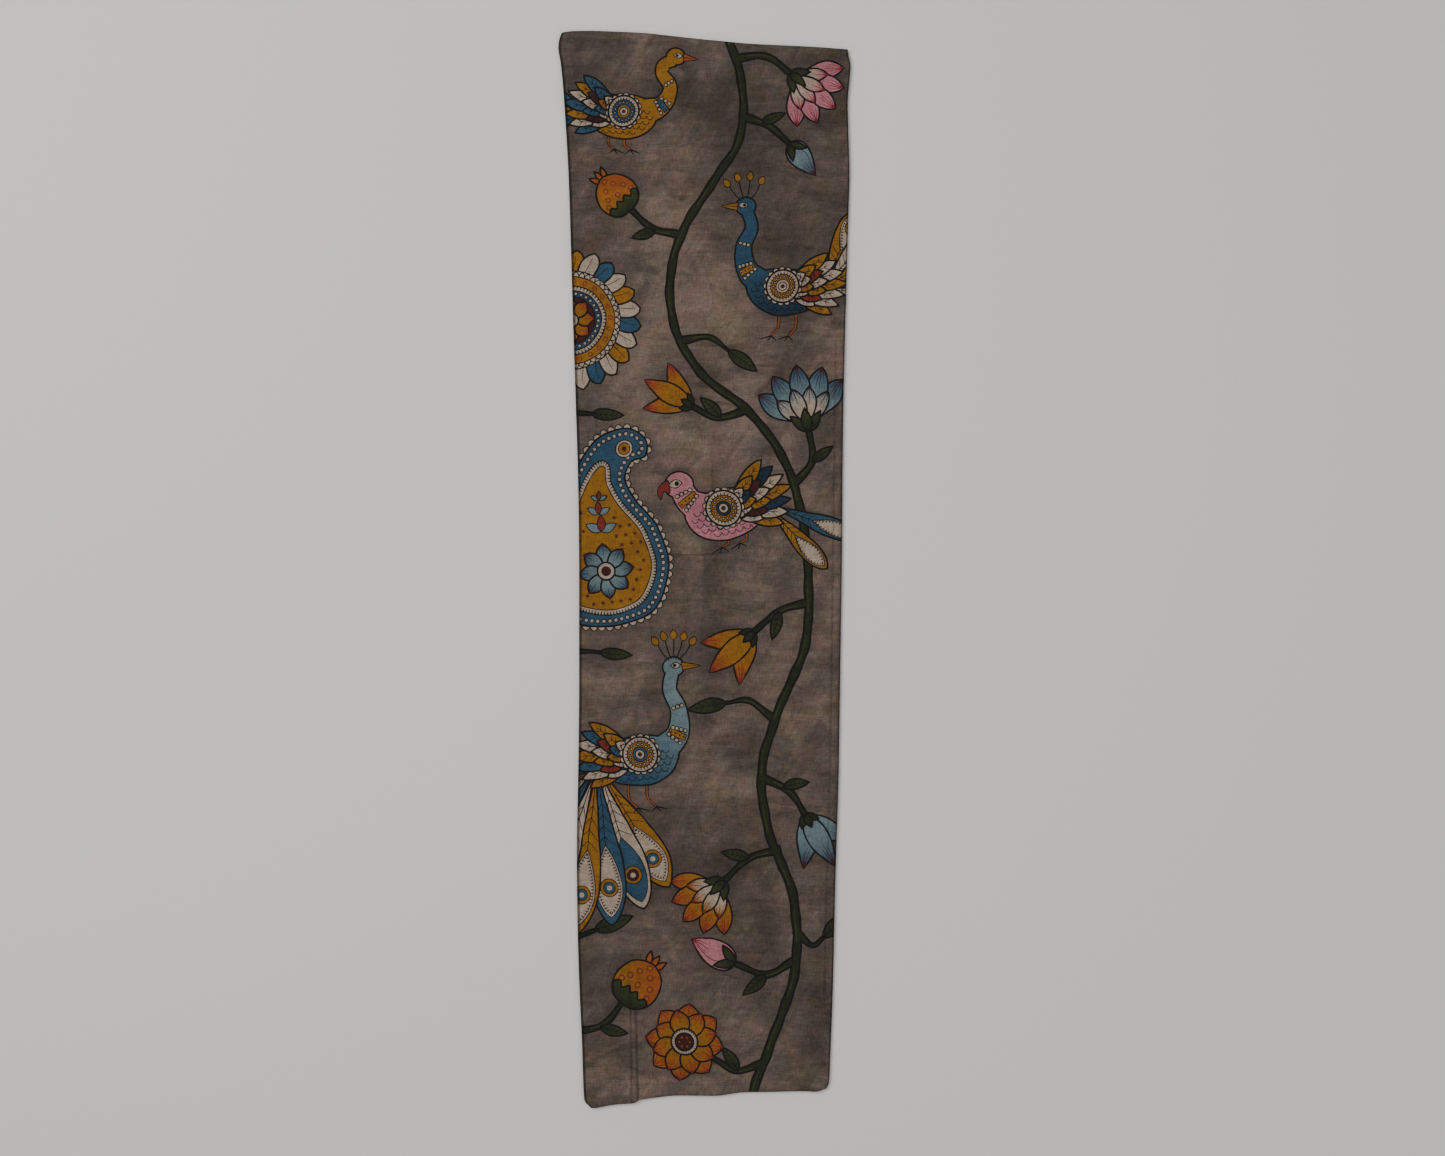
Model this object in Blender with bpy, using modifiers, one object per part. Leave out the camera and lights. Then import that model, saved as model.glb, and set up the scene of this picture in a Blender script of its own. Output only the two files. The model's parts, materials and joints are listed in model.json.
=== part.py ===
"""A painted cotton panel, folded in quarters and laid flat.

The panel is one length of cloth. It is folded in half down its length and in half again, so the
long strip that lies on the surface has four layers. Seen from the foot end the cloth runs, from
its first free edge at the bottom right, left under the whole strip, round the outer fold, right
across the top, round the top fold, left again, round the inner fold, and right to its second free
edge. The script starts from the flat cloth, carries each of its points to the folded place, and
gives the sheet its thickness with a Solidify modifier.

Units are metres. +X runs across the strip to its right, +Y along it to its head end, and +Z up.
The origin is under the middle of the strip's box, on the surface that it lies on.
"""

from typing import NamedTuple

import bmesh
import bpy
import numpy as np

# Driving dimensions
SHEET_THICKNESS = 0.0010
LAYER_GAP = 0.0004
LAYER_PITCH = SHEET_THICKNESS + LAYER_GAP
LEFT_LENGTH = 1.154
RIGHT_LENGTH = 1.116

# How far each fold's turn reaches across, measured on the middle of the cloth's thickness
OUTER_TURN_REACH = 0.0022
TIGHT_TURN_REACH = 0.0008
OUTER_TURN_SPANS = 8
TIGHT_TURN_SPANS = 6

# How far the hidden parts of the cloth stand back from the edges that show
INNER_FOLD_BACK = 0.0024
BOTTOM_FREE_EDGE_BACK = 0.0062
SECOND_FREE_EDGE_BACK = 0.0034
END_BACK = 0.0032

CLOTH_COLOUR = (0.105, 0.078, 0.062, 1.0)
CLOTH_ROUGHNESS = 0.88


class Width(NamedTuple):
    """The strip's two long edges at one place along it."""

    along: float
    left: float
    right: float


class End(NamedTuple):
    """How far an end's edge lies past or short of a straight end, at one place across it."""

    across: float
    foot: float
    head: float


class Swell(NamedTuple):
    """A soft rise where the folded cloth doesn't lie quite flat."""

    x: float
    y: float
    reach_x: float
    reach_y: float
    height: float


# From the foot end to the head end: the strip tapers, because it is folded a little askew.
WIDTHS = (
    Width(along=0.000, left=-0.1240, right=0.1320),
    Width(along=0.004, left=-0.1290, right=0.1346),
    Width(along=0.012, left=-0.1304, right=0.1355),
    Width(along=0.030, left=-0.1312, right=0.1362),
    Width(along=0.060, left=-0.1322, right=0.1375),
    Width(along=0.100, left=-0.1343, right=0.1390),
    Width(along=0.150, left=-0.1362, right=0.1402),
    Width(along=0.200, left=-0.1372, right=0.1414),
    Width(along=0.250, left=-0.1373, right=0.1430),
    Width(along=0.310, left=-0.1358, right=0.1449),
    Width(along=0.380, left=-0.1346, right=0.1459),
    Width(along=0.450, left=-0.1344, right=0.1470),
    Width(along=0.520, left=-0.1343, right=0.1480),
    Width(along=0.590, left=-0.1353, right=0.1484),
    Width(along=0.660, left=-0.1376, right=0.1492),
    Width(along=0.720, left=-0.1398, right=0.1506),
    Width(along=0.780, left=-0.1417, right=0.1523),
    Width(along=0.840, left=-0.1436, right=0.1541),
    Width(along=0.880, left=-0.1453, right=0.1553),
    Width(along=0.920, left=-0.1480, right=0.1541),
    Width(along=0.950, left=-0.1503, right=0.1533),
    Width(along=0.972, left=-0.1528, right=0.1553),
    Width(along=0.985, left=-0.1553, right=0.1562),
    Width(along=0.994, left=-0.1544, right=0.1541),
    Width(along=1.000, left=-0.1518, right=0.1533),
)

# From the left edge to the right: both ends slant, and the foot end waves.
ENDS = (
    End(across=0.00, foot=-0.0025, head=-0.0040),
    End(across=0.03, foot=-0.0049, head=-0.0018),
    End(across=0.07, foot=-0.0038, head=-0.0007),
    End(across=0.12, foot=-0.0027, head=0.0003),
    End(across=0.20, foot=-0.0024, head=0.0011),
    End(across=0.22, foot=0.0002, head=0.0012),
    End(across=0.30, foot=0.0017, head=0.0013),
    End(across=0.37, foot=0.0022, head=0.0003),
    End(across=0.46, foot=0.0006, head=-0.0010),
    End(across=0.55, foot=-0.0012, head=-0.0020),
    End(across=0.65, foot=0.0005, head=-0.0029),
    End(across=0.78, foot=-0.0014, head=-0.0025),
    End(across=0.90, foot=-0.0030, head=-0.0021),
    End(across=0.96, foot=-0.0046, head=-0.0023),
    End(across=1.00, foot=-0.0017, head=-0.0025),
)

SWELLS = (
    Swell(x=-0.110, y=-0.535, reach_x=0.034, reach_y=0.060, height=0.0012),
    Swell(x=-0.076, y=-0.545, reach_x=0.010, reach_y=0.090, height=0.0011),
    Swell(x=0.020, y=-0.520, reach_x=0.055, reach_y=0.055, height=0.0008),
    Swell(x=0.085, y=-0.330, reach_x=0.060, reach_y=0.110, height=0.0010),
    Swell(x=-0.070, y=-0.250, reach_x=0.055, reach_y=0.100, height=0.0009),
    Swell(x=0.000, y=-0.060, reach_x=0.080, reach_y=0.070, height=0.0010),
    Swell(x=-0.085, y=0.110, reach_x=0.050, reach_y=0.090, height=0.0009),
    Swell(x=0.065, y=0.170, reach_x=0.070, reach_y=0.090, height=0.0013),
    Swell(x=-0.020, y=0.360, reach_x=0.070, reach_y=0.090, height=0.0010),
    Swell(x=0.110, y=0.490, reach_x=0.045, reach_y=0.060, height=0.0015),
    Swell(x=-0.125, y=0.520, reach_x=0.035, reach_y=0.050, height=0.0014),
)

# How much of the swells each layer follows, from the bottom layer to the top one
SWELL_SHARES = (0.0, 0.0, 0.5, 1.0)

# Places across a layer, as shares of its width. The upper two layers follow the swells.
UPPER_PLACES = tuple(end.across for end in ENDS)
LOWER_PLACES = (0.0, 0.12, 0.30, 0.55, 0.78, 1.0)

along_rows = np.array([row.along for row in WIDTHS])
left_edges = np.array([row.left for row in WIDTHS])
right_edges = np.array([row.right for row in WIDTHS])


def end_line(across, mean, past):
    """The y of an end's edge: half the strip's length there, plus how far the edge lies past it."""
    half_length = (LEFT_LENGTH + (RIGHT_LENGTH - LEFT_LENGTH) * across) / 2
    return mean * half_length + np.interp(across, UPPER_PLACES, past)


def swell_height(x, y):
    """How far the swells lift the top layer: each is a bell that falls away both ways."""
    height = np.zeros_like(x)
    for swell in SWELLS:
        distance = ((x - swell.x) / swell.reach_x) ** 2 + ((y - swell.y) / swell.reach_y) ** 2
        height += swell.height * np.exp(-distance)
    return height


def layer_height(layer, x, y):
    """The height of the middle of a layer's thickness. Layer 0 lies on the surface."""
    flat = SHEET_THICKNESS / 2 + layer * LAYER_PITCH
    return flat + SWELL_SHARES[layer] * swell_height(x, y)


def strip_point(x, back):
    """The y of each row's point at x, for cloth whose ends stand back by this much."""
    across = np.clip((x - left_edges) / (right_edges - left_edges), 0.0, 1.0)
    foot = end_line(across, -1.0, [end.foot for end in ENDS]) + back
    head = end_line(across, 1.0, [end.head for end in ENDS]) - back
    return foot + along_rows * (head - foot)


def layer_pass(layer, places, start_x, end_x, start_back, end_back):
    """The lines of points that carry the cloth across one layer, one line for each place."""
    lines = []
    for place in places:
        x = start_x + (end_x - start_x) * place
        y = strip_point(x, start_back + (end_back - start_back) * place)
        lines.append(np.stack([x, y, layer_height(layer, x, y)], axis=1))
    return lines


def turn(before, after, reach, spans):
    """The lines of points round a fold: half an ellipse from one layer's end to the next one's."""
    middle = (before + after) / 2
    rise = (after - before) / 2
    lines = []
    for span in range(1, spans):
        angle = np.pi * span / spans
        line = middle - rise * np.cos(angle)
        line[:, 0] += reach * np.sin(angle)
        lines.append(line)
    return lines


def folded_lines():
    """Every line of the folded cloth, from its free edge at the bottom to its second free edge."""
    half = SHEET_THICKNESS / 2
    outer_start = left_edges + half + OUTER_TURN_REACH
    top_turn_start = right_edges - half - TIGHT_TURN_REACH
    inner_start = left_edges + SHEET_THICKNESS + INNER_FOLD_BACK

    bottom = layer_pass(0, LOWER_PLACES, right_edges - BOTTOM_FREE_EDGE_BACK, outer_start, END_BACK, 0.0)
    top = layer_pass(3, UPPER_PLACES, outer_start, top_turn_start, 0.0, 0.0)
    third = layer_pass(2, UPPER_PLACES, top_turn_start, inner_start, 0.0, END_BACK)
    second = layer_pass(1, LOWER_PLACES, inner_start, right_edges - SECOND_FREE_EDGE_BACK, END_BACK, END_BACK)

    outer_fold = turn(bottom[-1], top[0], -OUTER_TURN_REACH, OUTER_TURN_SPANS)
    top_fold = turn(top[-1], third[0], TIGHT_TURN_REACH, TIGHT_TURN_SPANS)
    inner_fold = turn(third[-1], second[0], -TIGHT_TURN_REACH, TIGHT_TURN_SPANS)
    return bottom + outer_fold + top + top_fold + third + inner_fold + second


def cloth_material():
    """The dyed grey-brown cotton."""
    material = bpy.data.materials.new("painted_cotton")
    material.use_nodes = True
    shader = material.node_tree.nodes["Principled BSDF"]
    shader.inputs["Base Color"].default_value = CLOTH_COLOUR
    shader.inputs["Roughness"].default_value = CLOTH_ROUGHNESS
    shader.inputs["Metallic"].default_value = 0.0
    return material


def folded_panel():
    """The cloth as a flat grid whose points are carried to their folded places, then thickened."""
    lines = np.array(folded_lines())
    middle = (lines.max(axis=(0, 1)) + lines.min(axis=(0, 1))) / 2
    lines[..., :2] -= middle[:2]

    across_spans, along_spans = lines.shape[0] - 1, lines.shape[1] - 1
    flat = bmesh.new()
    bmesh.ops.create_grid(flat, x_segments=across_spans, y_segments=along_spans, size=1.0)
    for point in flat.verts:
        line = round((point.co.x + 1) / 2 * across_spans)
        row = round((point.co.y + 1) / 2 * along_spans)
        point.co = lines[line, row]

    mesh = bpy.data.meshes.new("kalamkari_panel")
    flat.to_mesh(mesh)
    flat.free()
    mesh.materials.append(cloth_material())
    mesh.shade_smooth()
    panel = bpy.data.objects.new("kalamkari_panel", mesh)

    thickness = panel.modifiers.new("thickness", "SOLIDIFY")
    thickness.thickness = SHEET_THICKNESS
    thickness.offset = 0.0
    return panel


def main():
    for old in list(bpy.data.objects):
        bpy.data.objects.remove(old)
    collection = bpy.data.collections.new("folded_kalamkari_panel")
    bpy.context.scene.collection.children.link(collection)
    collection.objects.link(folded_panel())


main()
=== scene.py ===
"""The looks of a hand-painted cotton panel that lies folded in quarters on a pale floor.

The panel is one length of plain-weave cotton, washed grey-brown and painted with a creeper, its
blooms, a curled mango shape and birds. The painting is drawn flat, in millimetres, as outlines of
shapes laid one over another. The flat cloth is then cut into triangles along those outlines, so
that each triangle holds one dye, and every corner is carried to its place on the folded cloth.

Across the flat cloth, x is what the top layer shows. Left of the outer fold it goes on round to
the underside, and right of the top fold to the two hidden layers. y runs to the head end.
"""

from __future__ import annotations

import sys
import json
import logging
import math
from dataclasses import dataclass, field
from enum import Enum
from typing import Callable, Iterable, NamedTuple, Sequence, Union

import bpy
import numpy as np
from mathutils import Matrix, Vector
from mathutils.geometry import delaunay_2d_cdt

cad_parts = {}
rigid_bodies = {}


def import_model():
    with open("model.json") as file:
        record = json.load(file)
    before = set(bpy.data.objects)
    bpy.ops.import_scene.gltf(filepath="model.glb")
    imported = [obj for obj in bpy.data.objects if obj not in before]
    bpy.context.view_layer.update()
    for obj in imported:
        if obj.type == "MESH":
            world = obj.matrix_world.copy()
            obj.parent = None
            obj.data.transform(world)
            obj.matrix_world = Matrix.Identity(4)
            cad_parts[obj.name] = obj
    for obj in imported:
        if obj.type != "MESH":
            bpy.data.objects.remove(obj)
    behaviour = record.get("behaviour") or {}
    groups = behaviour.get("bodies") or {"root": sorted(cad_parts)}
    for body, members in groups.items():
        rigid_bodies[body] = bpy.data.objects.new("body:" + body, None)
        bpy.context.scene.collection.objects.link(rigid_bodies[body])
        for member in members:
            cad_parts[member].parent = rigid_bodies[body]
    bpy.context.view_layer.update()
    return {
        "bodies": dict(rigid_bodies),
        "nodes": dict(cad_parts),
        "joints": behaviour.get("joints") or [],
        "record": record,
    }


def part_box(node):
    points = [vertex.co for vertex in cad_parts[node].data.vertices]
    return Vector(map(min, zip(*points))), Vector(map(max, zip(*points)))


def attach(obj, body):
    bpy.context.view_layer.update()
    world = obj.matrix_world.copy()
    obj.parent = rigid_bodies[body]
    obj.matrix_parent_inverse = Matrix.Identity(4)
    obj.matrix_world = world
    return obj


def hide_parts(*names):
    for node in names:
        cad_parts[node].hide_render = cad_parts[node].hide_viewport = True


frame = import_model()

Points = np.ndarray
Pair = tuple[float, float]
Triple = tuple[float, float, float]
Path = Union[np.ndarray, Sequence[Pair]]

log = logging.getLogger("kalamkari_panel")

MILLIMETRE = 0.001
PEN_WIDTH = 1.9
FINE_PEN = 1.15
CURVE_STEP = 2.8
SHARPEST_MITRE = 0.35


class Dye(Enum):
    """The dyes on the cloth, as linear colours."""

    PEN = (0.008, 0.007, 0.007)
    GREEN = (0.0155, 0.0195, 0.0085)
    LEAF = (0.030, 0.038, 0.013)
    MUSTARD = (0.212, 0.092, 0.0095)
    ORANGE = (0.235, 0.055, 0.011)
    RED = (0.150, 0.020, 0.014)
    CRIMSON = (0.175, 0.013, 0.024)
    MAROON = (0.046, 0.010, 0.011)
    PINK = (0.320, 0.122, 0.142)
    PALE_BLUE = (0.108, 0.150, 0.158)
    BLUE = (0.020, 0.054, 0.090)
    DEEP_BLUE = (0.010, 0.023, 0.042)
    CREAM = (0.300, 0.230, 0.175)


def smooth(points: Path, closed: bool = False, step: float = CURVE_STEP) -> Points:
    """Carries a curve through points.

    Each stretch is a cubic between its two points, whose slope at each of them is half the chord
    between that point's neighbours.

    Args:
        points: The points, one row each.
        closed: Whether the last point leads back to the first.
        step: The longest chord of the curve.

    Returns:
        The curve's own points.
    """
    p = np.asarray(points, float)
    ends = (p[-1:], p[:2]) if closed else (2 * p[:1] - p[1:2], 2 * p[-1:] - p[-2:-1])
    p = np.vstack([ends[0], p, ends[1]])
    counts = np.maximum(1, np.ceil(np.linalg.norm(p[2:-1] - p[1:-2], axis=1) / step)).astype(int)
    stretch = np.repeat(np.arange(len(counts)), counts)
    t = ((np.arange(counts.sum()) - (np.cumsum(counts) - counts)[stretch]) / counts[stretch])[:, None]
    a, b, c, d = (p[stretch + shift] for shift in range(4))
    curve = 0.5 * (2 * b + (c - a) * t + (2 * a - 5 * b + 4 * c - d) * t**2 + (3 * b - a - 3 * c + d) * t**3)
    return curve if closed else np.vstack([curve, p[-2:-1]])


def columns(*parts: Points) -> Points:
    """Puts arrays side by side, each as a column of its own."""
    return np.stack(parts, axis=1)


def unit(runs: Points) -> Points:
    """The same runs, each of length one."""
    return runs / (np.linalg.norm(runs, axis=1, keepdims=True) + 1e-9)


def sideways(path: Points) -> Points:
    """Unit vectors to the left of a path's run."""
    run = unit(np.gradient(path, axis=0))
    return columns(-run[:, 1], run[:, 0])


def ribbon(path: Points, half_width: float | Points) -> Points:
    """A closed band that lies half_width to either side of a path."""
    reach = sideways(path) * np.broadcast_to(half_width, len(path))[:, None]
    return np.vstack([path - reach, (path + reach)[::-1]])


def swollen(shape: Points, by: float) -> Points:
    """Moves an outline outwards by a distance.

    Each corner moves along the mitre of its two sides, and a sharp one not past a limit.

    Args:
        shape: A counter-clockwise outline.
        by: The distance, below zero to shrink the shape.

    Returns:
        The moved outline.
    """
    run = unit(np.roll(shape, -1, axis=0) - shape)
    out = columns(run[:, 1], -run[:, 0])
    before = np.roll(out, 1, axis=0)
    mitre = (out + before) / np.maximum(1 + np.sum(out * before, axis=1), SHARPEST_MITRE)[:, None]
    return shape + by * mitre


def counter_clockwise(shape: Points) -> Points:
    """The same outline, its points running counter-clockwise."""
    (x, y), (next_x, next_y) = shape.T, np.roll(shape, -1, axis=0).T
    return shape if np.sum(x * next_y - next_x * y) > 0 else shape[::-1]


def rotation(degrees: float) -> Points:
    """The matrix of a counter-clockwise turn."""
    c, s = math.cos(math.radians(degrees)), math.sin(math.radians(degrees))
    return np.array([[c, -s], [s, c]])


def turned(shape: Points, degrees: float) -> Points:
    """A shape turned about (0, 0)."""
    return shape @ rotation(degrees).T


def circled(path: Points) -> Points:
    """A closed outline as an open path that ends where it starts."""
    return np.vstack([path, path[:1]])


def petal(length: float, width: float, lean: float = 0.0, fullest: float = 0.45,
          blunt: float = 0.8) -> Points:
    """A petal from its root at (0, 0) to its tip.

    Its half width is the sine of pi times a power of the way along, itself raised to `blunt`.

    Args:
        length: From root to tip.
        width: Where it is widest.
        lean: How far the tip lies to the right of the root.
        fullest: The share of the length at which it is widest.
        blunt: Below 1 for rounder ends.

    Returns:
        The outline.
    """
    t = np.linspace(0, 1, max(7, int(length / CURVE_STEP)))
    half = width / 2 * np.sin(np.pi * t ** (math.log(0.5) / math.log(fullest))) ** blunt
    right, left = (columns(lean * t**2 + side, length * t) for side in (half, -half))
    return np.vstack([right, left[-2:0:-1]])


def circle(radius: float, count: int) -> Points:
    """Even places on a circle about (0, 0)."""
    angle = np.linspace(0, 2 * np.pi, count, endpoint=False)
    return radius * columns(np.cos(angle), np.sin(angle))


def disc(radius: float, x: float = 0.0, y: float = 0.0) -> Points:
    """A circle's outline, with fewer sides where it is small."""
    return circle(radius, int(np.clip(np.pi * radius, 8, 60))) + (x, y)


def along(path: Points, step: float) -> tuple[Points, Points, Points]:
    """Finds even places along a path.

    Args:
        path: The path.
        step: About how far apart they lie.

    Returns:
        The places, and the unit vectors onwards and to the left there.
    """
    lengths = np.concatenate([[0], np.cumsum(np.linalg.norm(np.diff(path, axis=0), axis=1))])
    step = lengths[-1] / max(1, round(lengths[-1] / step))
    marks = np.arange(step / 2, lengths[-1], step)
    place, left = (np.stack([np.interp(marks, lengths, row) for row in rows.T], axis=1)
                   for rows in (path, sideways(path)))
    return place, columns(left[:, 1], -left[:, 0]), left


class Blend(NamedTuple):
    """Two dyes, or one twice, that run into one another from one place to the next."""

    near: Dye
    far: Dye
    start: Pair | Points = (0.0, 0.0)
    end: Pair | Points = (0.0, 1.0)

    def colours(self, points: Points) -> Points:
        """The colour at each place: a smooth step by how far it lies from start to end.

        Args:
            points: Places in the frame of start and end, in any number of rows.

        Returns:
            Red, green and blue at each place.
        """
        run = np.subtract(self.end, self.start)
        share = np.clip(((points - self.start) @ run) / (run @ run), 0, 1)[..., None]
        share = share * share * (3 - 2 * share)
        return np.array(self.near.value) * (1 - share) + np.array(self.far.value) * share


@dataclass
class Painting:
    """Painted shapes in the order in which they are laid on, each over those before it."""

    shapes: list[Points] = field(default_factory=list)
    blends: list[Blend] = field(default_factory=list)
    sway: float = 0.55
    tremble: float = 0.13

    def add(self, shape: Points, blend: Blend) -> None:
        """Lays one shape over the rest, drawn with an unsteady hand.

        Long waves over the cloth sway all shapes alike, and each shape trembles a little on its own.

        Args:
            shape: The outline.
            blend: The dyes inside it, with their places on the cloth.
        """
        x, y = shape.T
        own = len(self.shapes) * 2.4
        sway = columns(np.sin(y / 7.1 + 0.6) + 0.6 * np.sin(x / 5.3 + y / 9.7),
                       np.sin(x / 6.7) + 0.6 * np.sin(y / 5.9 - x / 8.3))
        shake = columns(np.sin(y / 2.3 + own) + np.sin(x / 1.9 + own),
                        np.sin(x / 2.1 + 2 * own) + np.sin(y / 2.6 - own))
        self.shapes.append(counter_clockwise(shape + 0.5 * self.sway * sway + 0.5 * self.tremble * shake))
        self.blends.append(blend)


class Dyes(NamedTuple):
    """A flower's dyes: its petals, what they run to at their tips, and the strokes there."""

    petal: Dye
    tip: Dye
    stroke: Dye


GOLDEN = Dyes(Dye.MUSTARD, Dye.ORANGE, Dye.RED)
AZURE = Dyes(Dye.PALE_BLUE, Dye.BLUE, Dye.MAROON)
ROSY = Dyes(Dye.PINK, Dye.PINK, Dye.CRIMSON)


def greens(x: float, y: float) -> Blend:
    """Leaf green that pales from the root to a tip at (x, y)."""
    return Blend(Dye.GREEN, Dye.LEAF, (0, 0), (x, y))


@dataclass(frozen=True)
class Brush:
    """Draws in a motif's own frame: turned, scaled and moved to its place on the cloth.

    Widths of lines are millimetres on the cloth, whatever the frame's scale.
    """

    painting: Painting
    frame: Points = field(default_factory=lambda: np.eye(2))
    origin: Points = field(default_factory=lambda: np.zeros(2))
    fine: bool = True

    def at(self, x: float = 0.0, y: float = 0.0, turn: float = 0.0, size: float = 1.0,
           flip: bool = False) -> Brush:
        """A brush whose frame is moved, turned by degrees, scaled and perhaps mirrored in this one's."""
        frame = rotation(turn) @ np.diag([-size if flip else size, size])
        return Brush(self.painting, self.frame @ frame, self.put(np.array([x, y])), self.fine)

    def around(self, count: int, first: float = 0.0) -> list[Brush]:
        """Brushes in the same place, turned by even parts of a whole turn."""
        return [self.at(turn=360 / count * k + first) for k in range(count)]

    def put(self, points: Points) -> Points:
        """Carries points from the motif's frame to the cloth."""
        return points @ self.frame.T + self.origin

    def blend(self, paint: Dye | Blend) -> Blend:
        """Carries a dye or a blend of this frame to the cloth.

        Args:
            paint: The dye, or the blend.

        Returns:
            The blend, with its places on the cloth.
        """
        blend = Blend(paint, paint) if isinstance(paint, Dye) else paint
        start, end = self.put(np.array([blend.start, blend.end], float))
        return blend._replace(start=start, end=end)

    def fill(self, shape: Points, dye: Dye) -> None:
        """Lays a shape with no outline."""
        self.painting.add(self.put(shape), self.blend(dye))

    def draw(self, shape: Points, paint: Dye | Blend, pen: float = PEN_WIDTH) -> None:
        """Lays a shape inside a pen outline."""
        self.draw_joined([shape], paint, pen)

    def draw_joined(self, shapes: list[Points], paint: Dye | Blend, pen: float = PEN_WIDTH) -> None:
        """Lays shapes inside one pen outline: every outline goes down before the fills.

        Args:
            shapes: The outlines.
            paint: The dye or dyes inside them.
            pen: The pen's width.
        """
        placed = [counter_clockwise(self.put(shape)) for shape in shapes]
        for by, blend in ((pen / 2, self.blend(Dye.PEN)), (-pen / 2, self.blend(paint))):
            for shape in placed:
                self.painting.add(swollen(shape, by), blend)

    def line(self, points: Path, width: float = FINE_PEN, tip_width: float | None = None,
             dye: Dye = Dye.PEN, step: float = CURVE_STEP) -> None:
        """Draws a line that may thin towards its tip. A brush that isn't fine leaves it out.

        Args:
            points: What the line runs through.
            width: Its width.
            tip_width: Its width at the tip, where that differs.
            dye: Its dye.
            step: The longest chord of its curve.
        """
        if self.fine:
            path = self.put(smooth(points, step=step))
            tip = width if tip_width is None else tip_width
            self.painting.add(ribbon(path, np.linspace(width / 2, tip / 2, len(path))), self.blend(dye))

    def barbs(self, root: Pair, reach: float, rise: float, width: float, tip_width: float) -> None:
        """Draws two short strokes that leave a rib, one to each side, and rise along it."""
        for side in (-1, 1):
            self.line([root, (root[0] + side * reach, root[1] + rise)], width, tip_width)

    def dots(self, places: Iterable[Pair], radius: float, dye: Dye, pen: float = 0.0) -> None:
        """Lays a round dot at each place.

        Args:
            places: Their middles.
            radius: Their radius.
            dye: Their dye.
            pen: The width of their outlines, or 0 for none.
        """
        for x, y in places:
            if pen:
                self.draw(disc(radius, x, y), dye, pen)
            else:
                self.fill(disc(radius, x, y), dye)

    def target(self, *discs: tuple[float, Dye, float]) -> None:
        """Lays discs one over another, each a radius, a dye and the width of its outline, or 0."""
        for radius, dye, pen in discs:
            self.dots([(0, 0)], radius, dye, pen)

    def rings(self, places: Iterable[Pair], radius: float, dye: Dye, inside: Dye) -> None:
        """Lays a ring at each place."""
        for x, y in places:
            self.at(x, y).target((radius, dye, 0), (radius * 0.58, inside, 0))

    def beads(self, path: Points, radius: float, step: float) -> None:
        """Strings outlined cream beads along a path."""
        self.dots(along(path, step)[0], radius, Dye.CREAM, 1.0)

    def ticks(self, path: Points, depth: float, step: float) -> None:
        """Lays a comb of thin pen strokes to the left of a path, joined by a line over the path.

        Args:
            path: The path.
            depth: How far the strokes reach.
            step: About how far apart they are.
        """
        if self.fine:
            place, run, left = along(path, step)
            teeth = [place - run * step * 0.25, place + left * depth, place + run * step * 0.25]
            back = (path - sideways(path) * 0.4)[::-1]
            self.fill(np.vstack([np.stack(teeth, axis=1).reshape(-1, 2), back]), Dye.PEN)

    def lobes(self, path: Points, depth: float, step: float) -> None:
        """Lays a row of outlined cream lobes to the left of a path, each half an ellipse.

        Args:
            path: The path.
            depth: How far the lobes reach.
            step: About how wide each is.
        """
        place, run, left = (rows[:, None] for rows in along(path, step))
        angle = np.linspace(np.pi, 0, 6)[None, :, None]
        lobes = place + run * np.cos(angle) * step / 2 + left * np.sin(angle) * depth
        self.draw(np.vstack([lobes.reshape(-1, 2), path[::-1]]), Dye.CREAM, 1.1)

    def star(self, x: float, y: float, radius: float, dye: Dye) -> None:
        """Lays a small star of three crossed strokes, each two radii long."""
        for stroke in (radius * rotation(degrees)[:, 0] for degrees in (15, 75, 135)):
            self.line([stroke * way + (x, y) for way in (-1, 0, 1)], 0.9, dye=dye, step=radius)

    def lay_petal(self, length: float, width: float, dyes: Dyes, lean: float = 0.0,
                  fullest: float = 0.45, count: int = 5) -> None:
        """Lays a petal whose dye runs to another at the tip, where strokes gather.

        Args:
            length: From root to tip.
            width: Where it is widest.
            dyes: Its three dyes.
            lean: How far the tip lies to the right.
            fullest: The share of the length at which it is widest.
            count: How many strokes it has.
        """
        paint = Blend(dyes.petal, dyes.tip, (0, length * 0.45), (lean, length))
        self.draw(petal(length, width, lean, fullest), paint)
        for share in np.linspace(-1, 1, count):
            far = length * (0.58 + 0.15 * abs(share))
            middle = (lean * 0.8 + share * width * 0.17, (far + length) / 2)
            foot = (lean * (far / length) ** 2 + share * width * 0.27, far)
            self.line([(lean, length * 0.985), middle, foot], 1.2, 0.4, dyes.stroke)

    def lay_whorl(self, length: float, width: float, dyes: Dyes, fullest: float, first: float = 0.0) -> None:
        """Lays eight petals in a ring, the first one turned by some degrees."""
        for brush in self.around(8, first):
            brush.lay_petal(length, width, dyes, fullest=fullest, count=3)

    def lay_leaf(self, length: float, width: float, lean: float = 0.0) -> None:
        """Lays a pointed leaf with a midrib and side veins.

        Args:
            length: From root to tip.
            width: Where it is widest.
            lean: How far the tip lies to the right.
        """
        self.draw(petal(length, width, lean, 0.42), greens(lean, length))
        self.line([(0, 0), (lean * 0.25, length * 0.5), (lean * 0.85, length * 0.92)], 1.0, 0.5)
        for share in (0.25, 0.42, 0.59, 0.74):
            reach = width * 0.36 * math.sin(math.pi * share**0.8)
            self.barbs((lean * share**2, length * share), reach, length * 0.11, 0.8, 0.4)


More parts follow.
